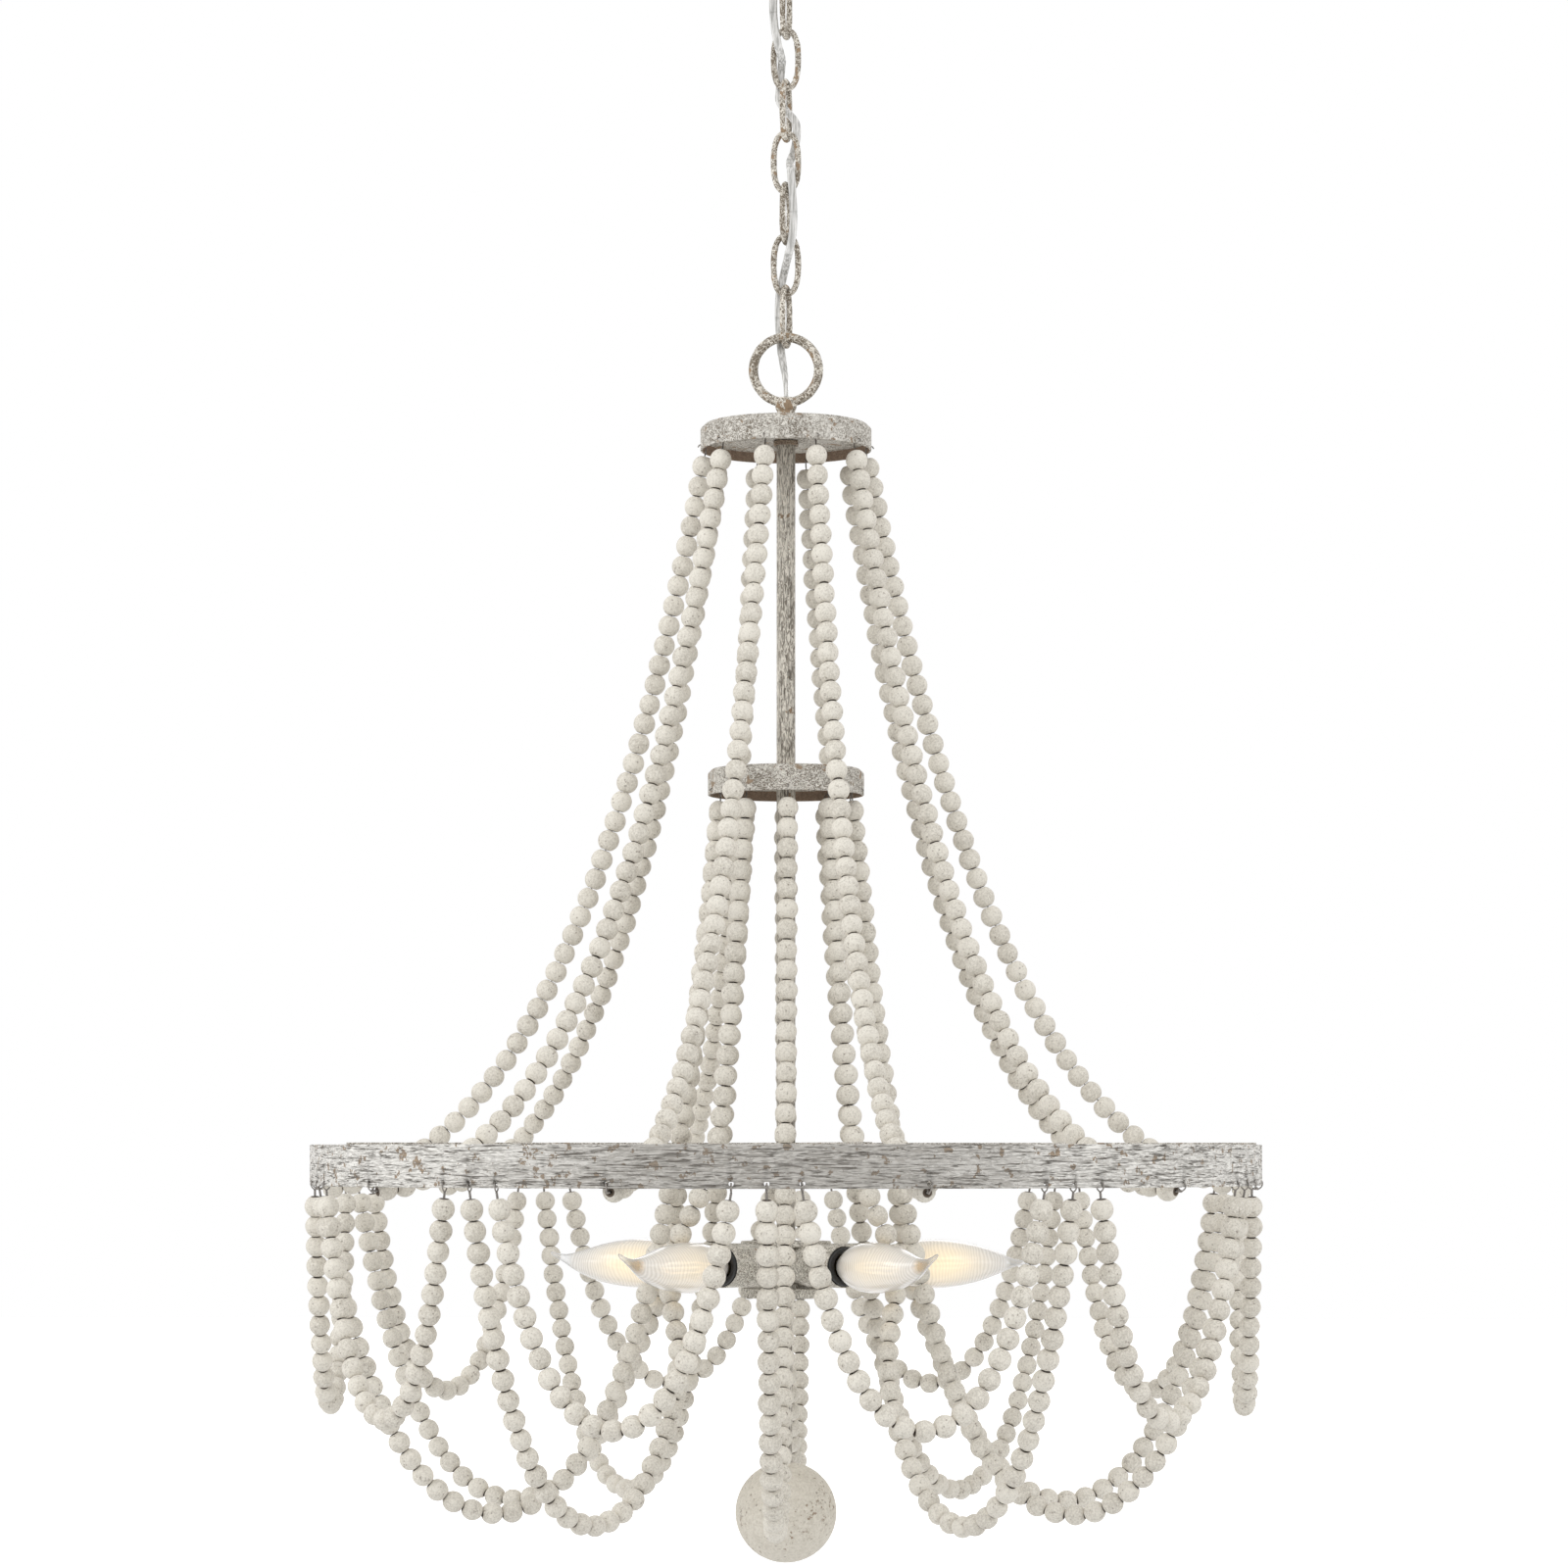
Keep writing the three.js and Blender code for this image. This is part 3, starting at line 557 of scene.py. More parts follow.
def ball_material():
    """Limed wood with patches where the whitewash has flaked off."""
    material, shade, surface = new_material("limed_ball")
    place_at = object_place(shade)
    wood = shade.group(
        LIMED_WOOD, Place=place_at, Pale=(0.70, 0.66, 0.58, 1), Deep=(0.52, 0.48, 0.405, 1),
        Speckle=600.0, Tint=0.5,
    )
    patch = shade.between(shade.noise(place_at, 42.0, 2.0), 0.54, 0.60)
    flake = shade.noise(place_at, 260.0, 4.0, 0.7)
    worn = shade.times(patch, shade.between(flake, 0.585, 0.605))
    color = shade.mix(shade.times(worn, 0.8), wood.outputs["Color"], (0.24, 0.165, 0.105, 1))
    height = shade.minus(wood.outputs["Height"], worn)
    cover(shade, surface, color, wood.outputs["Roughness"], height, 0.5, 0.4 * MM)
    surface.inputs["Specular IOR Level"].default_value = 0.25
    return material


def metal_material(name, color, roughness):
    """Bare metal with a fine scuff."""
    material, shade, surface = new_material(name)
    place_at = object_place(shade)
    scuff = shade.noise(shade.stretched(place_at, (1, 1, 0.3)), 700.0, 4.0, 0.6)
    tone = shade.mix(shade.between(scuff, 0.35, 0.65), opaque(color, 0.7), opaque(color))
    matt = shade.between(scuff, 0.3, 0.7, roughness, roughness + 0.2)
    cover(shade, surface, tone, matt, scuff, 0.2, 0.1 * MM)
    surface.inputs["Metallic"].default_value = 1.0
    return material


def cord_material():
    """A clear jacket over two silvery leads, which show as long streaks."""
    material, shade, surface = new_material("clear_cord")
    place_at = object_place(shade)
    strands = shade.noise(shade.stretched(place_at, (1, 1, 0.06)), 900.0, 2.0)
    cloud = shade.noise(place_at, 160.0, 2.0)
    tone = shade.plus(shade.times(strands, 0.88), shade.times(cloud, 0.12))
    color = shade.mix(shade.between(tone, 0.38, 0.60), (0.36, 0.355, 0.335, 1), (0.72, 0.71, 0.69, 1))
    matt = shade.between(strands, 0.3, 0.7, 0.22, 0.35)
    cover(shade, surface, color, matt, strands, 0.15, 0.2 * MM)
    surface.inputs["Coat Weight"].default_value = 0.5
    surface.inputs["Coat Roughness"].default_value = 0.08
    return material


def socket_material():
    """Black moulded plastic."""
    material, shade, surface = new_material("black_holder")
    fine = shade.noise(object_place(shade), 1200.0, 3.0, 0.6)
    color = shade.mix(shade.between(fine, 0.3, 0.7), (0.006, 0.006, 0.006, 1), (0.03, 0.03, 0.03, 1))
    matt = shade.between(fine, 0.3, 0.7, 0.35, 0.55)
    cover(shade, surface, color, matt, fine, 0.15, 0.1 * MM)
    return material


RIPPLE_PITCH = 2.2 * MM
MILK_END_SHARE = 0.80
CLEAR_FROM_SHARE = 0.85


def bulb_material():
    """Milky rippled glass lit from inside, clear at the drawn-out tip. Its colour carries a painted
    warm glow in the middle and painted shade at the outline.
    """
    material, shade, surface = new_material("lit_glass")
    glow = shade.attribute("glow")
    along = shade.attribute("along")
    facing = shade.add("ShaderNodeLayerWeight", Blend=0.5).outputs["Facing"]
    place_at = object_place(shade)
    waver = shade.times(shade.noise(place_at, 45.0, 2.0), 30.0)
    turns = shade.plus(shade.times(along, FULL_TURN / RIPPLE_PITCH), waver)
    ripple = shade.between(shade.math("SINE", turns), -1.0, 1.0)
    clear = shade.between(along, BULB_LENGTH * MILK_END_SHARE, BULB_LENGTH * CLEAR_FROM_SHARE)
    milk = shade.mix(ripple, (0.72, 0.695, 0.66, 1), (0.90, 0.88, 0.85, 1))
    # Painted light: the milk glass is warmed in its middle, where it faces the view, as if lit through
    # by the filament.
    centre = shade.math("POWER", shade.between(facing, 0.0, 0.9, 1.0, 0.0), 1.8)
    core = shade.times(glow, centre)
    milk = shade.mix(shade.times(core, 0.9), milk, (0.88, 0.78, 0.59, 1))
    # Painted shade: the milk glass greys towards its outline.
    milk = shade.mix(shade.math("POWER", facing, 2.6), milk, (0.34, 0.33, 0.31, 1))
    # Painted shade: the clear tip goes near black towards its outline; where it faces the view it is
    # white.
    tip = shade.mix(shade.math("POWER", facing, 1.3), (0.95, 0.95, 0.95, 1), (0.12, 0.12, 0.115, 1))
    matt = shade.between(clear, 0.0, 1.0, 0.22, 0.03)
    cover(shade, surface, shade.mix(clear, milk, tip), matt, ripple, 0.25, 0.15 * MM)
    edge = shade.times(facing, facing)
    body_alpha = shade.between(edge, 0.0, 1.0, 0.95, 0.99)
    tip_alpha = shade.between(edge, 0.0, 0.5, 0.12, 0.96)
    alpha = shade.add("ShaderNodeMix", {"data_type": "FLOAT"})
    for key, value in (("#0", clear), ("#2", body_alpha), ("#3", tip_alpha)):
        shade.put(alpha, key, value)
    shade.put(surface, "Alpha", alpha.outputs[0])
    light = shade.times(glow, shade.between(centre, 0.0, 1.0, 0.10, 1.0))
    light = shade.times(light, shade.between(ripple, 0.0, 1.0, 0.83, 1.0))
    shade.put(surface, "Emission Color", shade.mix(light, (0.0, 0.0, 0.0, 1), (1.0, 0.74, 0.36, 1)))
    surface.inputs["Emission Strength"].default_value = 0.36
    surface.inputs["Coat Weight"].default_value = 0.5
    surface.inputs["Coat Roughness"].default_value = 0.03
    return material


def filament_material():
    """A wire that glows a little unevenly."""
    material, shade, surface = new_material("hot_filament")
    fine = shade.noise(object_place(shade), 900.0, 2.0)
    surface.inputs["Base Color"].default_value = (0.9, 0.6, 0.3, 1)
    shade.put(surface, "Emission Color", shade.mix(fine, (1.0, 0.72, 0.35, 1), (1.0, 0.85, 0.55, 1)))
    surface.inputs["Emission Strength"].default_value = 3.0
    return material


BEADS = bead_material()
BALL = ball_material()
WIRE = metal_material("hook_wire", (0.30, 0.28, 0.26), 0.35)
STEEL = metal_material("plain_steel", (0.55, 0.54, 0.52), 0.35)
BRASS = metal_material("bulb_base", (0.62, 0.50, 0.30), 0.3)
CORD = cord_material()
SOCKET = socket_material()
GLASS = bulb_material()
FILAMENT = filament_material()
BAND_PAINT = worn_metal(
    "band_paint",
    grain=330.0,
    pale=(0.94, 0.92, 0.875),
    dark=(0.20, 0.18, 0.155),
    chip=(0.43, 0.32, 0.22),
    wear=0.31,
    chips=0.598,
    strength=0.9,
    soft=0.50,
    cloud=0.5,
    chip_size=(1.5, 1.5, 1.5),
    stretch=(0.3, 0.3, 2.2),
    brush=(1, 1, 17),
    brush_scale=28.0,
    line_share=1.0,
    # Painted shade over the band's front and back, paler towards its left and right sides.
    middle_shade_reach=0.16,
)
STEM_PAINT = worn_metal(
    "stem_paint",
    grain=560.0,
    pale=(0.84, 0.795, 0.71),
    dark=(0.17, 0.145, 0.115),
    chip=(0.36, 0.25, 0.16),
    wear=0.44,
    chips=0.665,
    strength=0.9,
    soft=0.40,
    cloud=0.5,
    stretch=(1, 1, 0.3),
    brush=(6, 6, 0.5),
    brush_scale=70.0,
    line_share=0.9,
)
FRAME_PAINT = worn_metal(
    "frame_paint",
    grain=470.0,
    pale=(0.86, 0.83, 0.765),
    dark=(0.19, 0.16, 0.125),
    chip=(0.42, 0.31, 0.215),
    wear=0.54,
    chips=0.597,
    strength=1.0,
    soft=0.34,
    cloud=0.6,
    stretch=(1, 1, 1.5),
    brush=(1, 1, 2),
    brush_scale=90.0,
)
HUB_PAINT = worn_metal(
    "hub_paint",
    grain=460.0,
    pale=(0.80, 0.765, 0.69),
    dark=(0.22, 0.195, 0.155),
    chip=(0.36, 0.25, 0.165),
    wear=0.49,
    chips=0.63,
    strength=1.0,
    soft=0.48,
    cloud=0.5,
)
CHAIN_PAINT = worn_metal(
    "chain_paint",
    grain=400.0,
    pale=(0.82, 0.775, 0.69),
    dark=(0.19, 0.155, 0.115),
    chip=(0.38, 0.27, 0.175),
    wear=0.65,
    chips=0.575,
    strength=1.0,
    soft=0.36,
    cloud=0.9,
)
CAP_INSIDE = worn_metal(
    "cap_inside",
    grain=500.0,
    pale=(0.34, 0.25, 0.185),
    dark=(0.22, 0.16, 0.12),
    chip=(0.42, 0.34, 0.27),
    wear=0.62,
    chips=0.66,
    strength=0.4,
)
NUT_PAINT = worn_metal(
    "nut_paint",
    grain=500.0,
    pale=(0.42, 0.34, 0.26),
    dark=(0.15, 0.11, 0.08),
    chip=(0.3, 0.2, 0.13),
    wear=0.66,
    chips=0.60,
    strength=0.5,
)


# Beads: their outline in shares of the radius, then how much one differs from the next
BEAD_ROUND = 20
BEAD_ROWS = 10
HOLE_SHARE = 0.17
HOLE_FLOOR_SHARE = 0.45
HOLE_EDGE_SHARE = 0.93
FLAT_SHARE = 0.44
END_SHARE = 0.965
WIDE_RANGE = (0.98, 1.04)
LONG_RANGE = (0.985, 1.005)
MOST_TILT = 0.06
MOST_LUMP = 0.025


def bead_shape():
    """Unit bead along Z: a turned ball with flat ends and a drilled hole."""
    start = math.asin(FLAT_SHARE)
    stretch = END_SHARE / math.cos(start)
    half = [
        (0.0, -HOLE_FLOOR_SHARE), (HOLE_SHARE, -HOLE_FLOOR_SHARE), (HOLE_SHARE, -HOLE_EDGE_SHARE),
        (HOLE_SHARE + 0.04, -END_SHARE), (FLAT_SHARE - 0.05, -END_SHARE),
    ]
    for i in range(BEAD_ROWS):
        angle = start + (math.pi / 2 - start) * (i + 0.25) / (BEAD_ROWS - 0.75)
        half.append((math.sin(angle), -stretch * math.cos(angle)))
    other = [(radius, -z) for radius, z in reversed(half[:-1])]
    vertices, faces = revolve(half + other, BEAD_ROUND)
    quads = [face for face in faces if len(face) == 4]
    triangles = [face for face in faces if len(face) == 3]
    return np.array([tuple(v) for v in vertices]), quads + triangles


BEAD_VERTICES, BEAD_FACES = bead_shape()
# Vertices on a bead's flat ends and hole, which take the painted shade between beads.
BEAD_END_SHADE = np.hypot(BEAD_VERTICES[:, 0], BEAD_VERTICES[:, 1]) < FLAT_SHARE - 0.01


def hanging(start, end, length, samples=400):
    """The curve that a strand of a given length takes between two points of an upright plane."""
    span = end[0] - start[0]
    rise = end[1] - start[1]
    target = math.sqrt(length * length - rise * rise) / span
    low, high = TINY, 20.0
    for _ in range(60):
        middle = (low + high) / 2
        if math.sinh(middle) / middle < target:
            low = middle
        else:
            high = middle
    # size sets how wide the catenary is, and lowest is where its lowest point lies
    size = span / (2 * low)
    lowest = (start[0] + end[0]) / 2 - size * math.atanh(rise / length)
    base = size * math.cosh((start[0] - lowest) / size)
    first = size * math.sinh((start[0] - lowest) / size)
    points = []
    for i in range(samples + 1):
        x = lowest + size * math.asinh((first + length * i / samples) / size)
        points.append((x, start[1] + size * math.cosh((x - lowest) / size) - base))
    return points


class Route:
    """A sampled path that gives the point at any distance along it."""

    def __init__(self, points):
        self.points = np.array([tuple(p) for p in points])
        steps = np.linalg.norm(np.diff(self.points, axis=0), axis=1)
        self.along = np.concatenate([[0], np.cumsum(steps)])
        self.length = float(self.along[-1])

    def at(self, distance):
        return Vector([float(np.interp(distance, self.along, self.points[:, i])) for i in range(3)])


def tube(points, radius, sides=8):
    """A thin wire through a few points, its section kept from turning by a fixed direction."""
    path = [Vector(p) for p in points]
    reference = Vector((0.3, 0.2, 1)).normalized()
    if abs((path[1] - path[0]).normalized().dot(reference)) > 0.9:
        reference = Vector((1, 0.3, 0)).normalized()
    return swept(path, circle(radius, sides), lambda k: reference)


def smooth_path(points, per_step=6):
    """A soft curve through the points, which doesn't swing out where their spacing changes."""
    stops = [Vector(p) for p in points]
    gaps = [max((b - a).length, TINY) for a, b in zip(stops, stops[1:])]
    slopes = [(b - a) / gap for a, b, gap in zip(stops, stops[1:], gaps)]
    ways = [slopes[0]]
    for k in range(1, len(stops) - 1):
        ways.append((slopes[k - 1] * gaps[k] + slopes[k] * gaps[k - 1]) / (gaps[k - 1] + gaps[k]))
    ways.append(slopes[-1])
    out = []
    for k, gap in enumerate(gaps):
        for i in range(per_step):
            t = i / per_step
            out.append(
                stops[k] * (2 * t ** 3 - 3 * t * t + 1) + ways[k] * gap * (t ** 3 - 2 * t * t + t)
                + stops[k + 1] * (3 * t * t - 2 * t ** 3) + ways[k + 1] * gap * (t ** 3 - t * t)
            )
    out.append(stops[-1])
    return out


def point_values(mesh, name, values):
    """A number at each vertex for the material to read; it is 0 past the end of the values."""
    filled = np.zeros(len(mesh.vertices), dtype=np.float32)
    filled[:len(values)] = values
    mesh.attributes.new(name, "FLOAT", "POINT").data.foreach_set("value", filled)


def strand(name, node, path, start_hook, end_hook, beads, body):
    """The beads of a strand and its hook wires as one piece that stands for the CAD strand."""
    route = Route(path)
    pitch = (route.length - 2 * LEADER) / beads
    vertices = []
    faces = []
    tints = []
    for k in range(beads):
        centre_at = LEADER + pitch * (k + 0.5)
        centre = route.at(centre_at)
        along = (route.at(centre_at + pitch / 2) - route.at(centre_at - pitch / 2)).normalized()
        wide = BEAD_DIAMETER / 2 * draw.uniform(*WIDE_RANGE)
        long = BEAD_PITCH / 2 * draw.uniform(*LONG_RANGE)
        turn = Matrix.Rotation(draw.uniform(0, FULL_TURN), 3, "Z")
        tilt = Matrix.Rotation(draw.uniform(-MOST_TILT, MOST_TILT), 3, "X")
        matrix = np.array(along.to_track_quat("Z", "Y").to_matrix() @ turn @ tilt)
        lumps = np.array([draw.uniform(-MOST_LUMP, MOST_LUMP) for _ in range(3)])
        points = BEAD_VERTICES * np.array([wide, wide, long])
        points = points * (1 + BEAD_VERTICES @ lumps)[:, None]
        points = points @ matrix.T + np.array(centre)
        start = k * len(BEAD_VERTICES)
        faces.extend(tuple(start + i for i in face) for face in BEAD_FACES)
        vertices.append(points)
        tints.append(draw.uniform(0, 1))
    all_vertices = np.concatenate(vertices)
    wire_parts = [tube(smooth_path(leg, 5), WIRE_RADIUS) for leg in start_hook + end_hook]
    core = [route.at(d) for d in np.linspace(0, route.length, beads * 2)]
    wire_parts.append(tube(core, WIRE_RADIUS, 5))
    whole = merged(([Vector(v) for v in all_vertices], faces), *wire_parts)
    mesh = piece(name, *whole, [BEADS, WIRE], body, "bead_wood", [node]).data
    of_wire = [int(k >= len(faces)) for k in range(len(mesh.polygons))]
    mesh.polygons.foreach_set("material_index", of_wire)
    point_values(mesh, "tint", np.repeat(tints, len(BEAD_VERTICES)))
    point_values(mesh, "end_shade", np.tile(BEAD_END_SHADE, beads))


def cap_hook(cap_radius, strand_radius, rim, azimuth):
    """A wire that hangs inside the cap's rim and ends through a hole in its side."""
    level = rim + HOLE_ABOVE_EDGE
    stops = [
        (cap_radius + 1.6 * MM, level - 1.2 * MM),
        (cap_radius + 0.9 * MM, level),
        (strand_radius + 1.5 * MM, level + 0.2 * MM),
        (strand_radius, level - 1.5 * MM),
        (strand_radius, rim - 1 * MM),
        (strand_radius, rim - SEAT_GAP - LEADER * 0.6),
    ]
    return [[place(radius, azimuth, z) for radius, z in stops]]


def twisted(start, end, turns=2.5, steps=14):
    """Two wires wound round each other between two points."""
    along = (end - start).normalized()
    side = along.orthogonal().normalized()
    up = along.cross(side)
    legs = []
    for half_turn in (0, math.pi):
        leg = []
        for i in range(steps + 1):
            angle = half_turn + FULL_TURN * turns * i / steps
            out = side * math.cos(angle) + up * math.sin(angle)
            leg.append(start.lerp(end, i / steps) + out * WIRE_RADIUS * 0.8)
        legs.append(leg)
    return legs


def band_hook(azimuth, first_bead):
    """A wire ring through the hole and round the band's lower edge, twisted below it."""
    level = BAND_BOTTOM + HOLE_ABOVE_EDGE
    outside = BAND_RADIUS + WIRE_RADIUS + SEAT_GAP
    inside = BAND_RADIUS - BAND_WALL - WIRE_RADIUS - SEAT_GAP
    middle = BAND_RADIUS - BAND_WALL / 2
    knot = place(middle, azimuth, BAND_BOTTOM - END_BELOW_EDGE)
    right, left = azimuth + HOOK_ASIDE, azimuth - HOOK_ASIDE
    ring = [
        knot,
        place(outside - 0.2 * MM, right, BAND_BOTTOM - 0.6 * MM),
        place(outside + 0.1 * MM, right, level - 1.2 * MM),
        place(outside - 0.6 * MM, azimuth, level - 0.1 * MM),
        place(middle, azimuth, level),
        place(inside + 0.6 * MM, azimuth, level - 0.1 * MM),
        place(inside - 0.1 * MM, left, level - 1.2 * MM),
        place(inside + 0.2 * MM, left, BAND_BOTTOM - 0.6 * MM),
        knot,
    ]
    return [ring, *twisted(knot, first_bead)]


BAND_END = (BAND_RADIUS - BAND_WALL / 2, BAND_BOTTOM - END_BELOW_EDGE)


def radial_strand(name, node, cap_radius, inset, rim, beads, azimuth, cap_turn, sidestep):
    """A strand from inside a cap's rim to the band's lower edge."""
    strand_radius = cap_radius - SHEET_WALL - inset
    top = place(strand_radius, azimuth + cap_turn, rim - SEAT_GAP)
    foot = place(BAND_END[0], azimuth, BAND_END[1])
    span = math.hypot(foot.x - top.x, foot.y - top.y)
    length = beads * BEAD_PITCH + 2 * LEADER
    path = []
    for x, z in hanging((0.0, top.z), (span, foot.z), length):
        at = top.lerp(foot, x / span)
        at.z = z
        path.append(sidestep(at))
    route = Route(path)
    last_bead = route.at(route.length - LEADER * FIRST_BEAD_SHARE)
    hook = cap_hook(cap_radius, strand_radius, rim, azimuth + cap_turn)
    strand(name, node, path, hook, band_hook(azimuth, last_bead), beads, "frame")


def upper_strand(i):
    azimuth = FULL_TURN / STRANDS * (i + 0.5)
    radial_strand(
        f"upper_beads_{i + 1}", f"upper_strand_{i + 1}", TOP_CAP_RADIUS, UPPER_INSET, top_cap_low[2],
        UPPER_BEADS, azimuth, TOP_CAP_TURN, lambda at: at,
    )


def inner_strand(i):
    """Half of these strands hang over a lamp, and step aside to pass its bulb."""
    azimuth = FULL_TURN / STRANDS * i
    over_lamp = any(abs(math.sin((lamp - azimuth) / 2)) < TINY for lamp in LAMP_AZIMUTHS)
    clear = BULB_RADIUS + BEAD_DIAMETER / 2 + SIDESTEP_GAP
    away = -1 if math.sin(azimuth) < -TINY else 1
    side = place(1, azimuth + math.pi / 2)

    def sidestep(at):
        if not over_lamp or math.hypot(at.x, at.y) > BAND_RADIUS / 2:
            return at
        near = math.exp(-(((at.z - LAMP_Z) / SIDESTEP_REACH) ** 2))
        return at + side * near * (away * clear - at.dot(side))

    radial_strand(
        f"inner_beads_{i + 1}", f"inner_strand_{i + 1}", MID_CAP_RADIUS, INNER_INSET, mid_cap_low[2],
        INNER_BEADS, azimuth, MID_CAP_TURN, sidestep,
    )


def swag_strand(i):
    """A swag under the band, in an upright plane across the radius."""
    azimuth = FULL_TURN / STRANDS * (i + 0.5)
    reach = BAND_END[0] * math.sin(SWAG_HALF_ANGLE)
    depth = BAND_END[0] * math.cos(SWAG_HALF_ANGLE)
    length = SWAG_BEADS * BEAD_PITCH + 2 * LEADER
    side = place(1, azimuth + math.pi / 2)
    path = [
        place(depth, azimuth, z) + side * x
        for x, z in hanging((-reach, BAND_END[1]), (reach, BAND_END[1]), length)
    ]
    route = Route(path)
    to_bead = LEADER * FIRST_BEAD_SHARE
    first = band_hook(azimuth - SWAG_HALF_ANGLE, route.at(to_bead))
    last = band_hook(azimuth + SWAG_HALF_ANGLE, route.at(route.length - to_bead))
    strand(f"swag_beads_{i + 1}", f"swag_{i + 1}", path, first, last, SWAG_BEADS, f"swag_{i + 1}")


for n in range(STRANDS):
    upper_strand(n)
    inner_strand(n)
    swag_strand(n)


# Chain, loops and cord
LINKS = 7
LINK_LENGTH = 41 * MM
LINK_WIDTH = 19.5 * MM
LINK_BAR = 3.8 * MM
LOOP_BAR = 6 * MM
LOOP_RADIUS = 21 * MM
COLLAR_HEIGHT = 17.3 * MM
COLLAR_RADIUS = 6.85 * MM
COLLAR_TOP = COLLAR_HEIGHT + 0.2 * MM
COLLAR_OUTLINE = [
    (CORD_BORE, 0.0), (COLLAR_RADIUS, 0.0), (COLLAR_RADIUS, 5.5 * MM), (5.4 * MM, 8.2 * MM),
    (COLLAR_RADIUS, 10.6 * MM), (COLLAR_RADIUS, 14.6 * MM), (5.2 * MM, COLLAR_TOP),
    (CORD_BORE, COLLAR_TOP), (CORD_BORE, 0.0),
]
CHAIN_TURN = math.radians(76)


def forged(bar, steps, sides, share=0.06):
    """The section of a hand-forged bar at each step, a little thicker here and thinner there."""
    swell = [draw.uniform(-share, share) for _ in range(steps)]
    flat = [draw.uniform(-share, share) for _ in range(steps)]

    def section(k):
        grow = 1 + (swell[k] + swell[(k + 1) % steps]) / 2
        squeeze = 1 + (flat[k] + flat[k - 1]) / 2
        return [(s * grow * squeeze, u * grow / squeeze) for s, u in circle(bar / 2, sides)]

    return section


def oval_bar(width, length, bar, bow=2.5, steps=56, sides=16):
    """A bar bent to an oval that is fuller than an ellipse."""
    half_width, half_length = (width - bar) / 2, (length - bar) / 2
    path = []
    for i in range(steps):
        angle = FULL_TURN * i / steps
        c, s = math.cos(angle), math.sin(angle)
        x = math.copysign(abs(c) ** (2 / bow), c) * half_width
        z = math.copysign(abs(s) ** (2 / bow), s) * half_length
        path.append(Vector((x, 0, z)))
    return swept(path, forged(bar, steps, sides), lambda k: Vector((0, -1, 0)), closed=True)


def round_bar(radius, bar, steps=64, sides=18):
    """A bar bent to a circle."""
    path = [Vector((x, 0, z)) for x, z in circle(radius, steps)]
    return swept(path, forged(bar, steps, sides, 0.035), lambda k: Vector((0, -1, 0)), closed=True)


def node_centre(node):
    """The middle of a CAD node's box."""
    low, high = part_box(node)
    return (Vector(low) + Vector(high)) / 2


def link_turn(i):
    """Every other link is turned, so that the links stand face-on and edge-on in turn."""
    return CHAIN_TURN if i % 2 == 0 else 0


for n in range(LINKS):
    node = f"chain_link_{n + 1}"
    matrix = Matrix.Translation(node_centre(node)) @ Matrix.Rotation(link_turn(n), 4, "Z")
    ring = moved(oval_bar(LINK_WIDTH, LINK_LENGTH, LINK_BAR), matrix)
    piece(f"link_bar_{n + 1}", *ring, [CHAIN_PAINT], f"link_{n + 1}", "whitewashed_metal", [node])


def loop_piece(name, node, body, foot, flip):
    """The round loop on its turned collar; flip hangs it from the canopy."""
    # the ring sinks into the collar's top, and the cord goes down through both
    lift = Matrix.Translation((0, 0, LOOP_RADIUS - LOOP_BAR / 2 + COLLAR_HEIGHT))
    collar = revolve(rounded(COLLAR_OUTLINE, 1.6 * MM, 4), 40)
    both = merged(moved(round_bar(LOOP_RADIUS, LOOP_BAR), lift), collar)
    if flip:
        both = moved(both, Matrix.Rotation(math.pi, 4, "X"))
    both = moved(both, Matrix.Translation((0, 0, foot)))
    piece(name, *both, [CHAIN_PAINT], body, "whitewashed_metal", [node])


loop_piece("loop_and_collar", "top_loop", "frame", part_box("top_loop")[0][2], False)
loop_piece("canopy_loop_and_collar", "canopy_loop", "canopy", canopy_low[2] - SEAT_GAP, True)

# The cord at each bar that it crosses: left or right of it, and in front of it or behind
CROSSING_SIDES = [(-1, -1), (-1, -1), (-1, 1), (1, 1), (1, -1), (1, -1), (-1, 1), (-1, 1)]
CORD_CLEAR = 2.7 * MM
CORD_LAY = math.radians(107)
CORD_TURN = math.radians(75)
CORD_TURN_RUN = 34 * MM
CORD_TOP = 2.5 * MM
CORD_FOOT_ABOVE_HUB = 12 * MM
CORD_STEP = 1.6 * MM
FINE_RUN = 120 * MM
BLEND_REACH = 10 * MM
LEAD_RADIUS = 1.42 * MM
LEAD_ASIDE = 1.22 * MM
LEAD_ARC = math.pi * 0.42
ENTER_SHARE = 0.29
LINK_PITCH = node_centre("chain_link_1")[2] - node_centre("chain_link_2")[2]


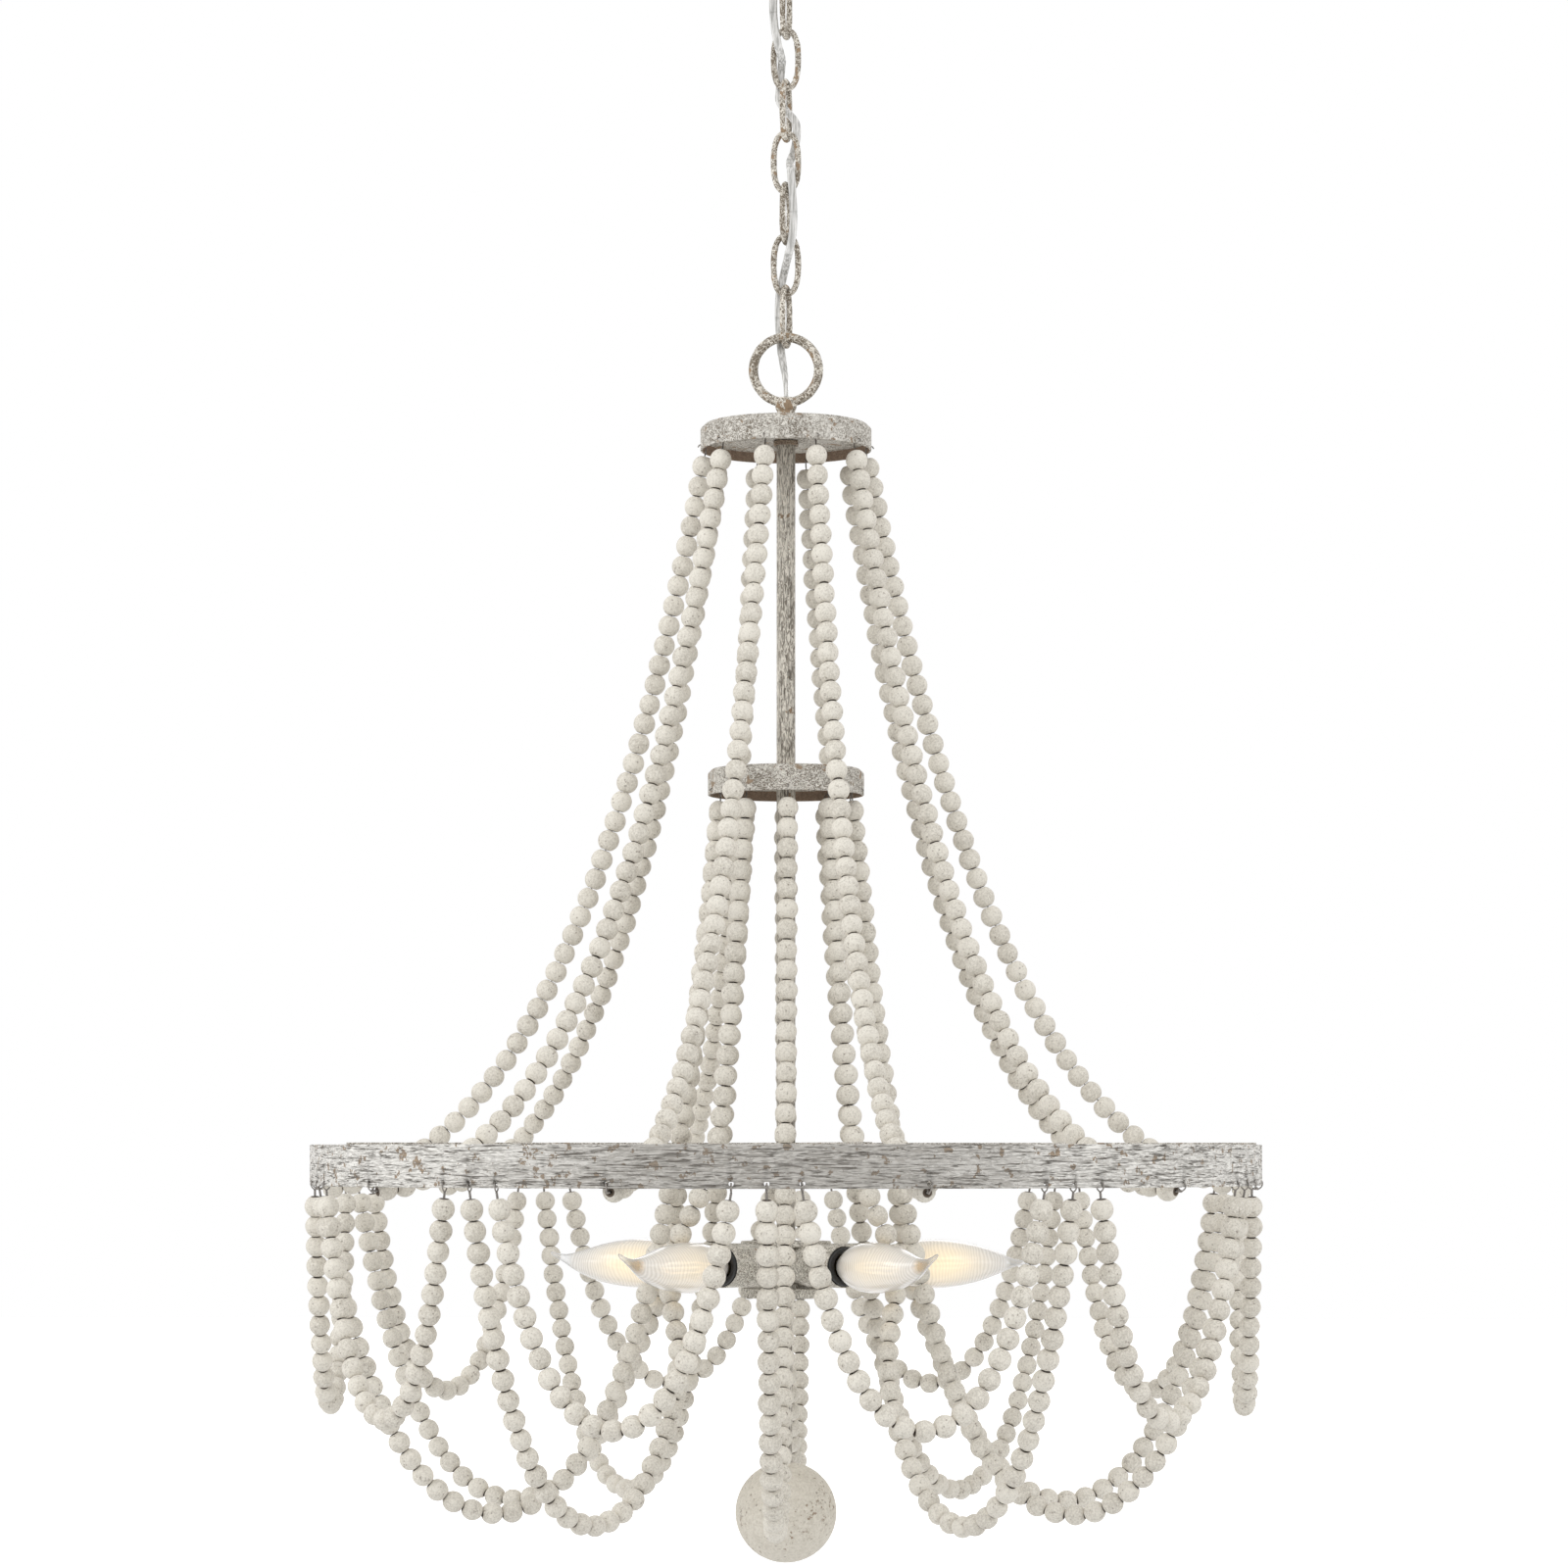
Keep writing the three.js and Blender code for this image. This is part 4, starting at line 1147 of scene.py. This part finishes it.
def cord_route():
    """The cord's points: canopy, past and through the links, the collar, and down the tube."""
    first = node_centre("chain_link_1")[2] + (LINK_LENGTH - 2 * LINK_BAR - SEAT_GAP) / 2

    def away(bar):
        return bar / 2 + CORD_CLEAR + SEAT_GAP * 2

    crossings = []
    for i, (x, y) in enumerate(CROSSING_SIDES):
        from_y = away(LOOP_BAR if i in (0, LINKS) else LINK_BAR)
        across = x * away(LINK_BAR) / math.sin(CHAIN_TURN) + from_y * y / math.tan(CHAIN_TURN)
        crossings.append(Vector((across, y * from_y, first - LINK_PITCH * i)))
    # how far from its middle the cord can pass through a link's eye
    reach = LINK_WIDTH / 2 - LINK_BAR - CORD_CLEAR - SEAT_GAP * 2
    points = [Vector((0, 0, -CORD_TOP)), Vector((0, 0, canopy_low[2] - COLLAR_HEIGHT * 1.5))]
    for i, at in enumerate(crossings):
        points.append(at)
        if i == LINKS:
            continue
        after = crossings[i + 1]
        turn = link_turn(i)
        along = Vector((math.cos(turn), math.sin(turn), 0))
        through = Vector((-math.sin(turn), math.cos(turn), 0))
        # a cord that stays on one side of a link goes past it, and else through its eye
        if at.dot(through) * after.dot(through) > 0:
            continue
        middle = min(max((at.dot(along) + after.dot(along)) / 2, -reach), reach)
        enter = LINK_PITCH * ENTER_SHARE
        for start, z in ((at, at.z - enter), (after, after.z + enter)):
            inside = along * ((start.dot(along) + middle) / 2) + through * start.dot(through)
            points.append(Vector((inside.x, inside.y, z)))
        points.insert(-1, along * middle + Vector((0, 0, at.z - LINK_PITCH / 2)))
    cap_z = top_cap_high[2]
    for z in (cap_z + COLLAR_HEIGHT * 1.5, cap_z, hub_high[2] + CORD_FOOT_ABOVE_HUB):
        points.append(Vector((0, 0, z)))
    return points


def cord_section(count=10):
    """Two round leads side by side in one clear jacket."""
    shape = []
    for side in (1, -1):
        for i in range(count):
            angle = LEAD_ARC * (2 * i / (count - 1) - 1)
            out, up = LEAD_RADIUS * math.cos(angle), LEAD_RADIUS * math.sin(angle)
            shape.append((side * (LEAD_ASIDE + out), side * up))
    return shape


def cord_pieces():
    """The cord in runs that are cut where it passes the middle of each link."""
    route = Route(smooth_path(cord_route(), 8))
    section = cord_section()
    joints = [j for j in frame["joints"] if j["name"].startswith("chain_joint")]
    levels = [j["pos_m"][2] for j in joints]
    ends = [0.0]
    for n in range(LINKS):
        below = route.points[:, 2] < node_centre(f"chain_link_{n + 1}")[2]
        ends.append(float(route.along[int(np.argmax(below))]))
    ends.append(route.length)

    def ring(distance):
        at = route.at(distance)
        ahead = route.at(min(distance + 1 * MM, route.length))
        along = (ahead - route.at(max(distance - 1 * MM, 0.0))).normalized()
        low = top_cap_high[2] + COLLAR_HEIGHT
        near = min(max((low + CORD_TURN_RUN - at.z) / CORD_TURN_RUN, 0.0), 1.0)
        flat = place(1, CORD_LAY + CORD_TURN * near * near * (3 - 2 * near))
        side = (flat - along * flat.dot(along)).normalized()
        up = along.cross(side)
        return [at + side * a + up * b for a, b in section]

    for n in range(LINKS + 1):
        start, end = ends[n], ends[n + 1]
        count = max(6, int(min(end - start, FINE_RUN) / CORD_STEP))
        rings = [ring(start + (end - start) * i / count) for i in range(count + 1)]
        name = f"cord_run_{n + 1}"
        thing = piece(name, *rings_to_faces(rings), [CORD], None, "cord_jacket", ["supply_cord"])
        start_at, end_at = (0, 0, levels[n] + BLEND_REACH), (0, 0, levels[n] - BLEND_REACH)
        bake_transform(thing)
        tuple(start_at)
        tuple(end_at)


cord_pieces()


# Canopy, caps and tube
CANOPY_BORE = 5.2 * MM


def canopy_piece():
    """The cup at the ceiling: its outside from the bore up, then back down its inside."""
    low = canopy_low[2]
    radius = canopy_high[1]
    outside = [
        (CANOPY_BORE, low), (26 * MM, low), (38 * MM, low + 2.5 * MM), (50 * MM, low + 9 * MM),
        (58.5 * MM, -9 * MM), (radius, -4 * MM), (radius, 0.0),
    ]
    inside = [
        (radius - SHEET_WALL, 0.0), (radius - SHEET_WALL, -4 * MM), (57 * MM, -8.2 * MM),
        (48.8 * MM, low + 10.2 * MM), (37.4 * MM, low + 4 * MM), (26 * MM, low + SHEET_WALL),
        (CANOPY_BORE, low + SHEET_WALL),
    ]
    cup = turned(outside + inside, 96, 2 * MM)
    piece("canopy_cup", *cup, [FRAME_PAINT], "canopy", "whitewashed_metal", ["canopy"])


def cap_piece(name, node, radius, low, high):
    """A shallow inverted pan round the tube, brown on the inside of its rim."""
    inner = radius - SHEET_WALL
    hole = STEM_RADIUS + SEAT_GAP
    under = high - SHEET_WALL
    plate = low + CAP_PLATE_ABOVE_RIM
    profile = [
        (hole, under), (inner - 2 * MM, under), (inner, under - 2 * MM),
        (inner, plate + SHEET_WALL), (hole, plate + SHEET_WALL), (hole, plate), (inner, plate),
        (inner, low), (radius, low), (radius, high - 3 * MM), (radius - 3 * MM, high), (hole, high),
    ]
    pan = turned(profile, 96, 0.6 * MM)
    made = piece(name, *pan, [FRAME_PAINT, CAP_INSIDE], "frame", "whitewashed_metal", [node])
    for face in made.data.polygons:
        middle = face.center
        flat = math.hypot(middle.x, middle.y)
        if inner - 0.4 * MM < flat < inner + 0.2 * MM and middle.z < plate:
            face.material_index = 1


TUBE_EDGE = 0.4 * MM
ROD_RADIUS = 4 * MM
ROD_SHOULDER = 0.6 * MM


def stem_piece():
    """The tube with its bore for the cord, and the thin rod below the hub that holds the ball."""
    rod_top = hub_low[2] - 3 * MM
    profile = [
        (0.0, stem_low[2]), (ROD_RADIUS, stem_low[2]), (ROD_RADIUS, rod_top - ROD_SHOULDER),
        (STEM_RADIUS, rod_top), (STEM_RADIUS, stem_high[2] - TUBE_EDGE),
        (STEM_RADIUS - TUBE_EDGE, stem_high[2]), (CORD_BORE, stem_high[2]),
        (CORD_BORE, hub_high[2]), (0.0, hub_high[2]),
    ]
    tube_and_rod = revolve(profile, 48)
    piece("centre_tube", *tube_and_rod, [STEM_PAINT], "frame", "whitewashed_metal", ["stem"])


NUT_SIDES = 6
NUT_RADIUS = 9 * MM
NUT_BORE = 6.35 * MM


def nut_piece():
    """A hexagonal nut: its side with softened edges, then its round bore."""
    count = NUT_SIDES * 4
    angles = [FULL_TURN * i / count for i in range(count)]
    rings = []
    for radius_share, height_share in ((0.94, 0.0), (1.0, 0.12), (1.0, 0.88), (0.94, 1.0)):
        height = nut_low[2] + (nut_high[2] - nut_low[2]) * height_share
        ring = []
        for angle in angles:
            from_flat = angle % (FULL_TURN / NUT_SIDES) - math.pi / NUT_SIDES
            flat = math.cos(math.pi / NUT_SIDES) / math.cos(from_flat)
            ring.append(place(NUT_RADIUS * flat * radius_share, angle, height))
        rings.append(ring)
    for height in (nut_high[2], nut_low[2]):
        rings.append([place(NUT_BORE, angle, height) for angle in angles])
    nut = rings_to_faces(rings, closed_row=True)
    piece("cap_hex_nut", *nut, [NUT_PAINT], "frame", "plain_steel", ["cap_nut"], smooth=False)


canopy_piece()
cap_piece("top_cap_pan", "top_cap", TOP_CAP_RADIUS, top_cap_low[2], top_cap_high[2])
cap_piece("mid_cap_pan", "mid_cap", MID_CAP_RADIUS, mid_cap_low[2], mid_cap_high[2])
stem_piece()
nut_piece()


# Ring band with its hook holes, and the spider
def apply_modifiers(thing):
    graph = bpy.context.evaluated_depsgraph_get()
    mesh = bpy.data.meshes.new_from_object(thing.evaluated_get(graph))
    thing.modifiers.clear()
    old = thing.data
    thing.data = mesh
    bpy.data.meshes.remove(old)


def hook_holes():
    """Pins through the band: under each strand, and at both ends of each swag."""
    level = BAND_BOTTOM + HOLE_ABOVE_EDGE
    pins = []
    for i in range(STRANDS):
        inner = FULL_TURN / STRANDS * i
        upper = FULL_TURN / STRANDS * (i + 0.5)
        for azimuth in (inner, upper, upper - SWAG_HALF_ANGLE, upper + SWAG_HALF_ANGLE):
            ends = [
                place(BAND_RADIUS - BAND_WALL - 2 * MM, azimuth, level),
                place(BAND_RADIUS + 2 * MM, azimuth, level),
            ]
            pins.append(swept(ends, circle(HOLE_RADIUS, 14), lambda k: Vector((0, 0, 1))))
    return merged(*pins)


def band_piece():
    """The hoop, drilled for the hooks."""
    inner = BAND_RADIUS - BAND_WALL
    profile = [
        (inner, BAND_BOTTOM), (BAND_RADIUS, BAND_BOTTOM), (BAND_RADIUS, BAND_TOP),
        (inner, BAND_TOP),
    ]
    hoop = turned(profile, 360, 0.5 * MM, 2)
    thing = piece("ring_hoop", *hoop, [BAND_PAINT], None, "whitewashed_metal")
    drill_vertices, drill_faces = hook_holes()
    drill_mesh = bpy.data.meshes.new("drill")
    drill_mesh.from_pydata([tuple(v) for v in drill_vertices], [], drill_faces)
    drill = bpy.data.objects.new("drill", drill_mesh)
    bpy.context.scene.collection.objects.link(drill)
    cutting = thing.modifiers.new("holes", "BOOLEAN")
    cutting.operation = "DIFFERENCE"
    cutting.solver = "EXACT"
    cutting.object = drill
    bpy.context.view_layer.update()
    apply_modifiers(thing)
    bpy.data.objects.remove(drill)
    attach(thing, "frame")
    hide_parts("ring_band")


SPOKES = 5
PLATE_RADIUS = 25 * MM
SPOKE_START = 20 * MM
SPOKE_HALF_WIDTH = 3.5 * MM
SPOKE_BELOW_PLATE = 0.1 * MM
SPOKE_END_GAP = 0.4 * MM


def box_part(low, high):
    x0, y0, z0 = low
    x1, y1, z1 = high
    corners = ((x0, y0), (x1, y0), (x1, y1), (x0, y1))
    vertices = [Vector((x, y, z)) for z in (z0, z1) for x, y in corners]
    faces = [(3, 2, 1, 0), (4, 5, 6, 7), (0, 1, 5, 4), (1, 2, 6, 5), (2, 3, 7, 6), (3, 0, 4, 7)]
    return vertices, faces


def spider_piece():
    """A round plate on the tube with flat spokes out to the band."""
    low, high = plate_low[2], plate_high[2]
    hole = STEM_RADIUS + SEAT_GAP
    plate = [(hole, low), (PLATE_RADIUS, low), (PLATE_RADIUS, high), (hole, high)]
    parts = [turned(plate, 64, 0.5 * MM, 2)]
    spoke = box_part(
        (-SPOKE_HALF_WIDTH, -(BAND_RADIUS - BAND_WALL - SPOKE_END_GAP), low),
        (SPOKE_HALF_WIDTH, -SPOKE_START, high - SPOKE_BELOW_PLATE),
    )
    for i in range(SPOKES):
        azimuth = SPOKE_AZIMUTH + FULL_TURN * i / SPOKES
        parts.append(moved(spoke, Matrix.Rotation(azimuth, 4, "Z")))
    made = piece(
        "spider_plate", *merged(*parts), [FRAME_PAINT], "frame", "whitewashed_metal", ["spider"],
        smooth=False,
    )
    edge = made.modifiers.new("edges", "BEVEL")
    edge.width = 0.4 * MM
    edge.segments = 2


band_piece()
spider_piece()


# Hub, lamp holders and bulbs; along a lamp, lengths count outward from the tube's axis
FLANGE_RADIUS = 29 * MM
LOWER_FLANGE = 6.3 * MM
UPPER_FLANGE = 3.8 * MM
CORE_RADIUS = 20 * MM
CUP_RADIUS = 13.5 * MM
CUP_WALL = 0.9 * MM
CUP_START = 15 * MM
CUP_FLOOR = 41.5 * MM
CUP_REACH = 66 * MM
NEAR_AXIS = 0.2 * MM
SOCKET_RADIUS = 12.3 * MM
SOCKET_BORE = 8.4 * MM
SOCKET_BACK = 34.5 * MM
SOCKET_FLOOR = 39.5 * MM
SOCKET_MOUTH = 68 * MM


def pointing(azimuth):
    """From a shape along +Z to one that points outward at that azimuth from the lamps' level."""
    lay = Matrix.Rotation(math.pi / 2, 4, "X")
    return Matrix.Translation((0, 0, LAMP_Z)) @ Matrix.Rotation(azimuth, 4, "Z") @ lay


def hub_piece():
    """A spool on the tube with a cup for each lamp."""
    low, high = hub_low[2], hub_high[2]
    bore = STEM_RADIUS + SEAT_GAP
    spool = [
        (bore, low), (FLANGE_RADIUS, low), (FLANGE_RADIUS, low + LOWER_FLANGE),
        (CORE_RADIUS, low + LOWER_FLANGE), (CORE_RADIUS, high - UPPER_FLANGE),
        (FLANGE_RADIUS, high - UPPER_FLANGE), (FLANGE_RADIUS, high), (bore, high),
    ]
    cup = [
        (NEAR_AXIS, CUP_START), (CUP_RADIUS, CUP_START), (CUP_RADIUS, CUP_REACH),
        (CUP_RADIUS - CUP_WALL, CUP_REACH), (CUP_RADIUS - CUP_WALL, CUP_FLOOR),
        (NEAR_AXIS, CUP_FLOOR),
    ]
    parts = [revolve([*rounded(spool, 0.7 * MM), spool[0]], 80)]
    for azimuth in LAMP_AZIMUTHS:
        parts.append(moved(turned(cup, 48, 0.5 * MM), pointing(azimuth)))
    piece("hub_and_cups", *merged(*parts), [HUB_PAINT], "frame", "whitewashed_metal", ["hub"])


def socket_piece(i, azimuth):
    """A black holder, open at its mouth."""
    profile = [
        (NEAR_AXIS, SOCKET_BACK), (SOCKET_RADIUS, SOCKET_BACK), (SOCKET_RADIUS, SOCKET_MOUTH),
        (SOCKET_BORE + 0.6 * MM, SOCKET_MOUTH), (SOCKET_BORE, SOCKET_MOUTH - 1.2 * MM),
        (SOCKET_BORE, SOCKET_FLOOR), (NEAR_AXIS, SOCKET_FLOOR),
    ]
    holder = moved(turned(profile, 48, 0.6 * MM), pointing(azimuth))
    piece(f"lamp_holder_{i + 1}", *holder, [SOCKET], "frame", "socket_black", [f"socket_{i + 1}"])


BULB_OUTLINE = [
    (0.0, 0.50), (0.03, 0.60), (0.08, 0.76), (0.14, 0.88), (0.21, 0.96), (0.30, 1.0), (0.40, 0.975),
    (0.50, 0.90), (0.60, 0.775), (0.68, 0.63), (0.76, 0.46), (0.82, 0.32), (0.87, 0.205), (0.91, 0.145),
    (0.95, 0.105), (0.985, 0.085), (1.0, 0.05),
]
BULB_SIDES = 40
TIP_SHARE = 0.68
TIP_BEND = 9 * MM
TIP_BENDS = [(0, 1), (1, 0), (0, 1), (-1, 1), (0, 1)]
GLOW_MIDDLE_SHARE = 0.36
GLOW_WIDTH_SHARE = 0.27
GLASS_START = SOCKET_MOUTH + 0.6 * MM
BASE_START = 47.7 * MM
THREAD_START = BASE_START + 3 * MM
THREAD_TURNS = 5
THREAD_CREST = 6.9 * MM
THREAD_ROOT = 6.3 * MM
FILAMENTS = 4
FILAMENT_RADIUS = 3.2 * MM
FILAMENT_WIRE = 0.5 * MM
FILAMENT_STOPS = [(0.5, 10 * MM), (1.0, 24 * MM), (1.0, 48 * MM), (0.4, 56 * MM)]


def bulb_glass(i, outward):
    """The glass with its bent tip, and how it glows along its length."""
    bend = Vector(TIP_BENDS[i]).normalized()
    rings = []
    glow = []
    lengths = []
    for length_share, radius_share in BULB_OUTLINE:
        past = max(0.0, length_share - TIP_SHARE) / (1 - TIP_SHARE)
        shift = bend * TIP_BEND * past * past
        middle = Vector((shift.x, shift.y, GLASS_START + BULB_LENGTH * length_share))
        radius = BULB_RADIUS * radius_share
        rings.append([middle + place(radius, FULL_TURN * k / BULB_SIDES) for k in range(BULB_SIDES)])
        off = (length_share - GLOW_MIDDLE_SHARE) / GLOW_WIDTH_SHARE
        glow += [math.exp(-off ** 2)] * BULB_SIDES
        lengths += [BULB_LENGTH * length_share] * BULB_SIDES
    glass = moved(rings_to_faces(rings), outward)
    body = f"bulb_{i + 1}"
    made = piece(f"candle_glass_{i + 1}", *glass, [GLASS], body, "bulb_glass", [body])
    point_values(made.data, "glow", glow)
    point_values(made.data, "along", lengths)


def bulb_base(i, outward):
    """The screw base, from its contact to the glass."""
    outline = [
        (0.0, BASE_START), (2.5 * MM, BASE_START), (3 * MM, BASE_START + 1.5 * MM),
        (6 * MM, BASE_START + 2.4 * MM),
    ]
    for k in range(THREAD_TURNS * 2 + 1):
        z = THREAD_START + (GLASS_START - THREAD_START) * k / (THREAD_TURNS * 2)
        outline.append((THREAD_CREST if k % 2 else THREAD_ROOT, z))
    outline += [(6.5 * MM, GLASS_START + 1.5 * MM), (0.0, GLASS_START + 1.5 * MM)]
    base = moved(revolve(outline, 36), outward)
    piece(f"screw_base_{i + 1}", *base, [BRASS], f"bulb_{i + 1}", "bulb_glass")


def bulb_filament(i, outward):
    """Glowing wires round the bulb's axis, closer to it at both ends."""
    wires = []
    for turn in range(FILAMENTS):
        angle = FULL_TURN * turn / FILAMENTS
        x, y = FILAMENT_RADIUS * math.cos(angle), FILAMENT_RADIUS * math.sin(angle)
        stops = [Vector((x * share, y * share, GLASS_START + up)) for share, up in FILAMENT_STOPS]
        wires.append(tube(stops, FILAMENT_WIRE, 6))
    filament = moved(merged(*wires), outward)
    piece(f"filament_{i + 1}", *filament, [FILAMENT], f"bulb_{i + 1}", "bulb_glass")


hub_piece()
for n, lamp_azimuth in enumerate(LAMP_AZIMUTHS):
    socket_piece(n, lamp_azimuth)
    for bulb_part in (bulb_glass, bulb_base, bulb_filament):
        bulb_part(n, pointing(lamp_azimuth))


# Ball at the foot
BALL_RADIUS = 32.5 * MM
BALL_HOLE = 4.3 * MM
BALL_HOLE_MOUTH = 4.5 * MM
BALL_HOLE_EDGE = 2 * MM
BALL_HOLE_DEPTH = 18 * MM


def ball_piece():
    """A ball with a hole in its top for the rod."""
    centre = ball_low[2] + BALL_RADIUS
    top = centre + BALL_RADIUS
    start = math.asin(BALL_HOLE_MOUTH / BALL_RADIUS)
    profile = [(0.0, ball_low[2])]
    steps = 48
    for i in range(1, steps + 1):
        angle = math.pi - (math.pi - start) * i / steps
        profile.append((BALL_RADIUS * math.sin(angle), centre + BALL_RADIUS * math.cos(angle)))
    profile += [
        (BALL_HOLE, top - BALL_HOLE_EDGE), (BALL_HOLE, top - BALL_HOLE_DEPTH),
        (0.0, top - BALL_HOLE_DEPTH),
    ]
    piece("foot_ball", *revolve(profile, 96), [BALL], "frame", "ball_wood", ["ball_finial"])


ball_piece()

frame["nodes"]["crossbar"].data.materials.clear()
frame["nodes"]["crossbar"].data.materials.append(STEEL)

# Floor, background and lights
FLOOR_REACH = 40
FLOOR_BELOW_BALL = 1.3
LIGHTS_AIM = Vector((0, 0, -0.75))


def seen_directly(shade):
    """1 on rays from the camera, off a glossy face or through glass, and 0 on all others."""
    rays = shade.add("ShaderNodeLightPath")
    seen = shade.larger(rays.outputs["Is Camera Ray"], rays.outputs["Is Glossy Ray"])
    return shade.larger(seen, rays.outputs["Is Transmission Ray"])


def stage():
    """A floor so wide and pale that no horizon shows."""
    z = ball_low[2] - FLOOR_BELOW_BALL
    corners = [(-1, -1), (1, -1), (1, 1), (-1, 1)]
    mesh = bpy.data.meshes.new("floor")
    mesh.from_pydata([(x * FLOOR_REACH, y * FLOOR_REACH, z) for x, y in corners], [], [(0, 1, 2, 3)])
    floor = bpy.data.objects.new("floor", mesh)
    bpy.context.scene.collection.objects.link(floor)
    material, shade, surface = new_material("pale_floor")
    soft = shade.noise(object_place(shade), 3.0, 2.0)
    tone = shade.mix(soft, (0.80, 0.80, 0.80, 1), (0.82, 0.82, 0.82, 1))
    shade.put(surface, "Base Color", tone)
    surface.inputs["Roughness"].default_value = 0.9
    surface.inputs["Specular IOR Level"].default_value = 0.1
    surface.inputs["Emission Color"].default_value = (1, 1, 1, 1)
    shade.put(surface, "Emission Strength", shade.times(seen_directly(shade), 0.62))
    mesh.materials.append(material)


def world():
    """A white background that lights the scene a little less than it shows."""
    made = bpy.data.worlds.new("studio")
    bpy.context.scene.world = made
    made.use_nodes = True
    made.node_tree.nodes.clear()
    shade = Shade(made.node_tree)
    background = shade.add("ShaderNodeBackground", Color=(1, 1, 1, 1))
    shade.put(background, "Strength", shade.between(seen_directly(shade), 0.0, 1.0, 0.85, 1.0))
    out = shade.add("ShaderNodeOutputWorld")
    shade.put(out, "Surface", background.outputs[0])


def area_light(name, location, size, power):
    """A square light that faces the middle of the strands."""
    data = bpy.data.lights.new(name, "AREA")
    data.size = size
    data.energy = power
    lamp = bpy.data.objects.new(name, data)
    lamp.location = location
    toward = LIGHTS_AIM - Vector(location)
    lamp.rotation_euler = toward.to_track_quat("-Z", "Y").to_euler()
    bpy.context.scene.collection.objects.link(lamp)


stage()
world()
area_light("left", (-2.7, -1.2, 0.2), 1.8, 26)
area_light("right", (2.7, -1.3, 0.0), 1.8, 16)
area_light("front", (-0.6, -2.8, 1.2), 1.6, 16)
area_light("back", (0.5, 2.8, 0.6), 2.0, 18)

bpy.context.scene.view_settings.view_transform = "Standard"
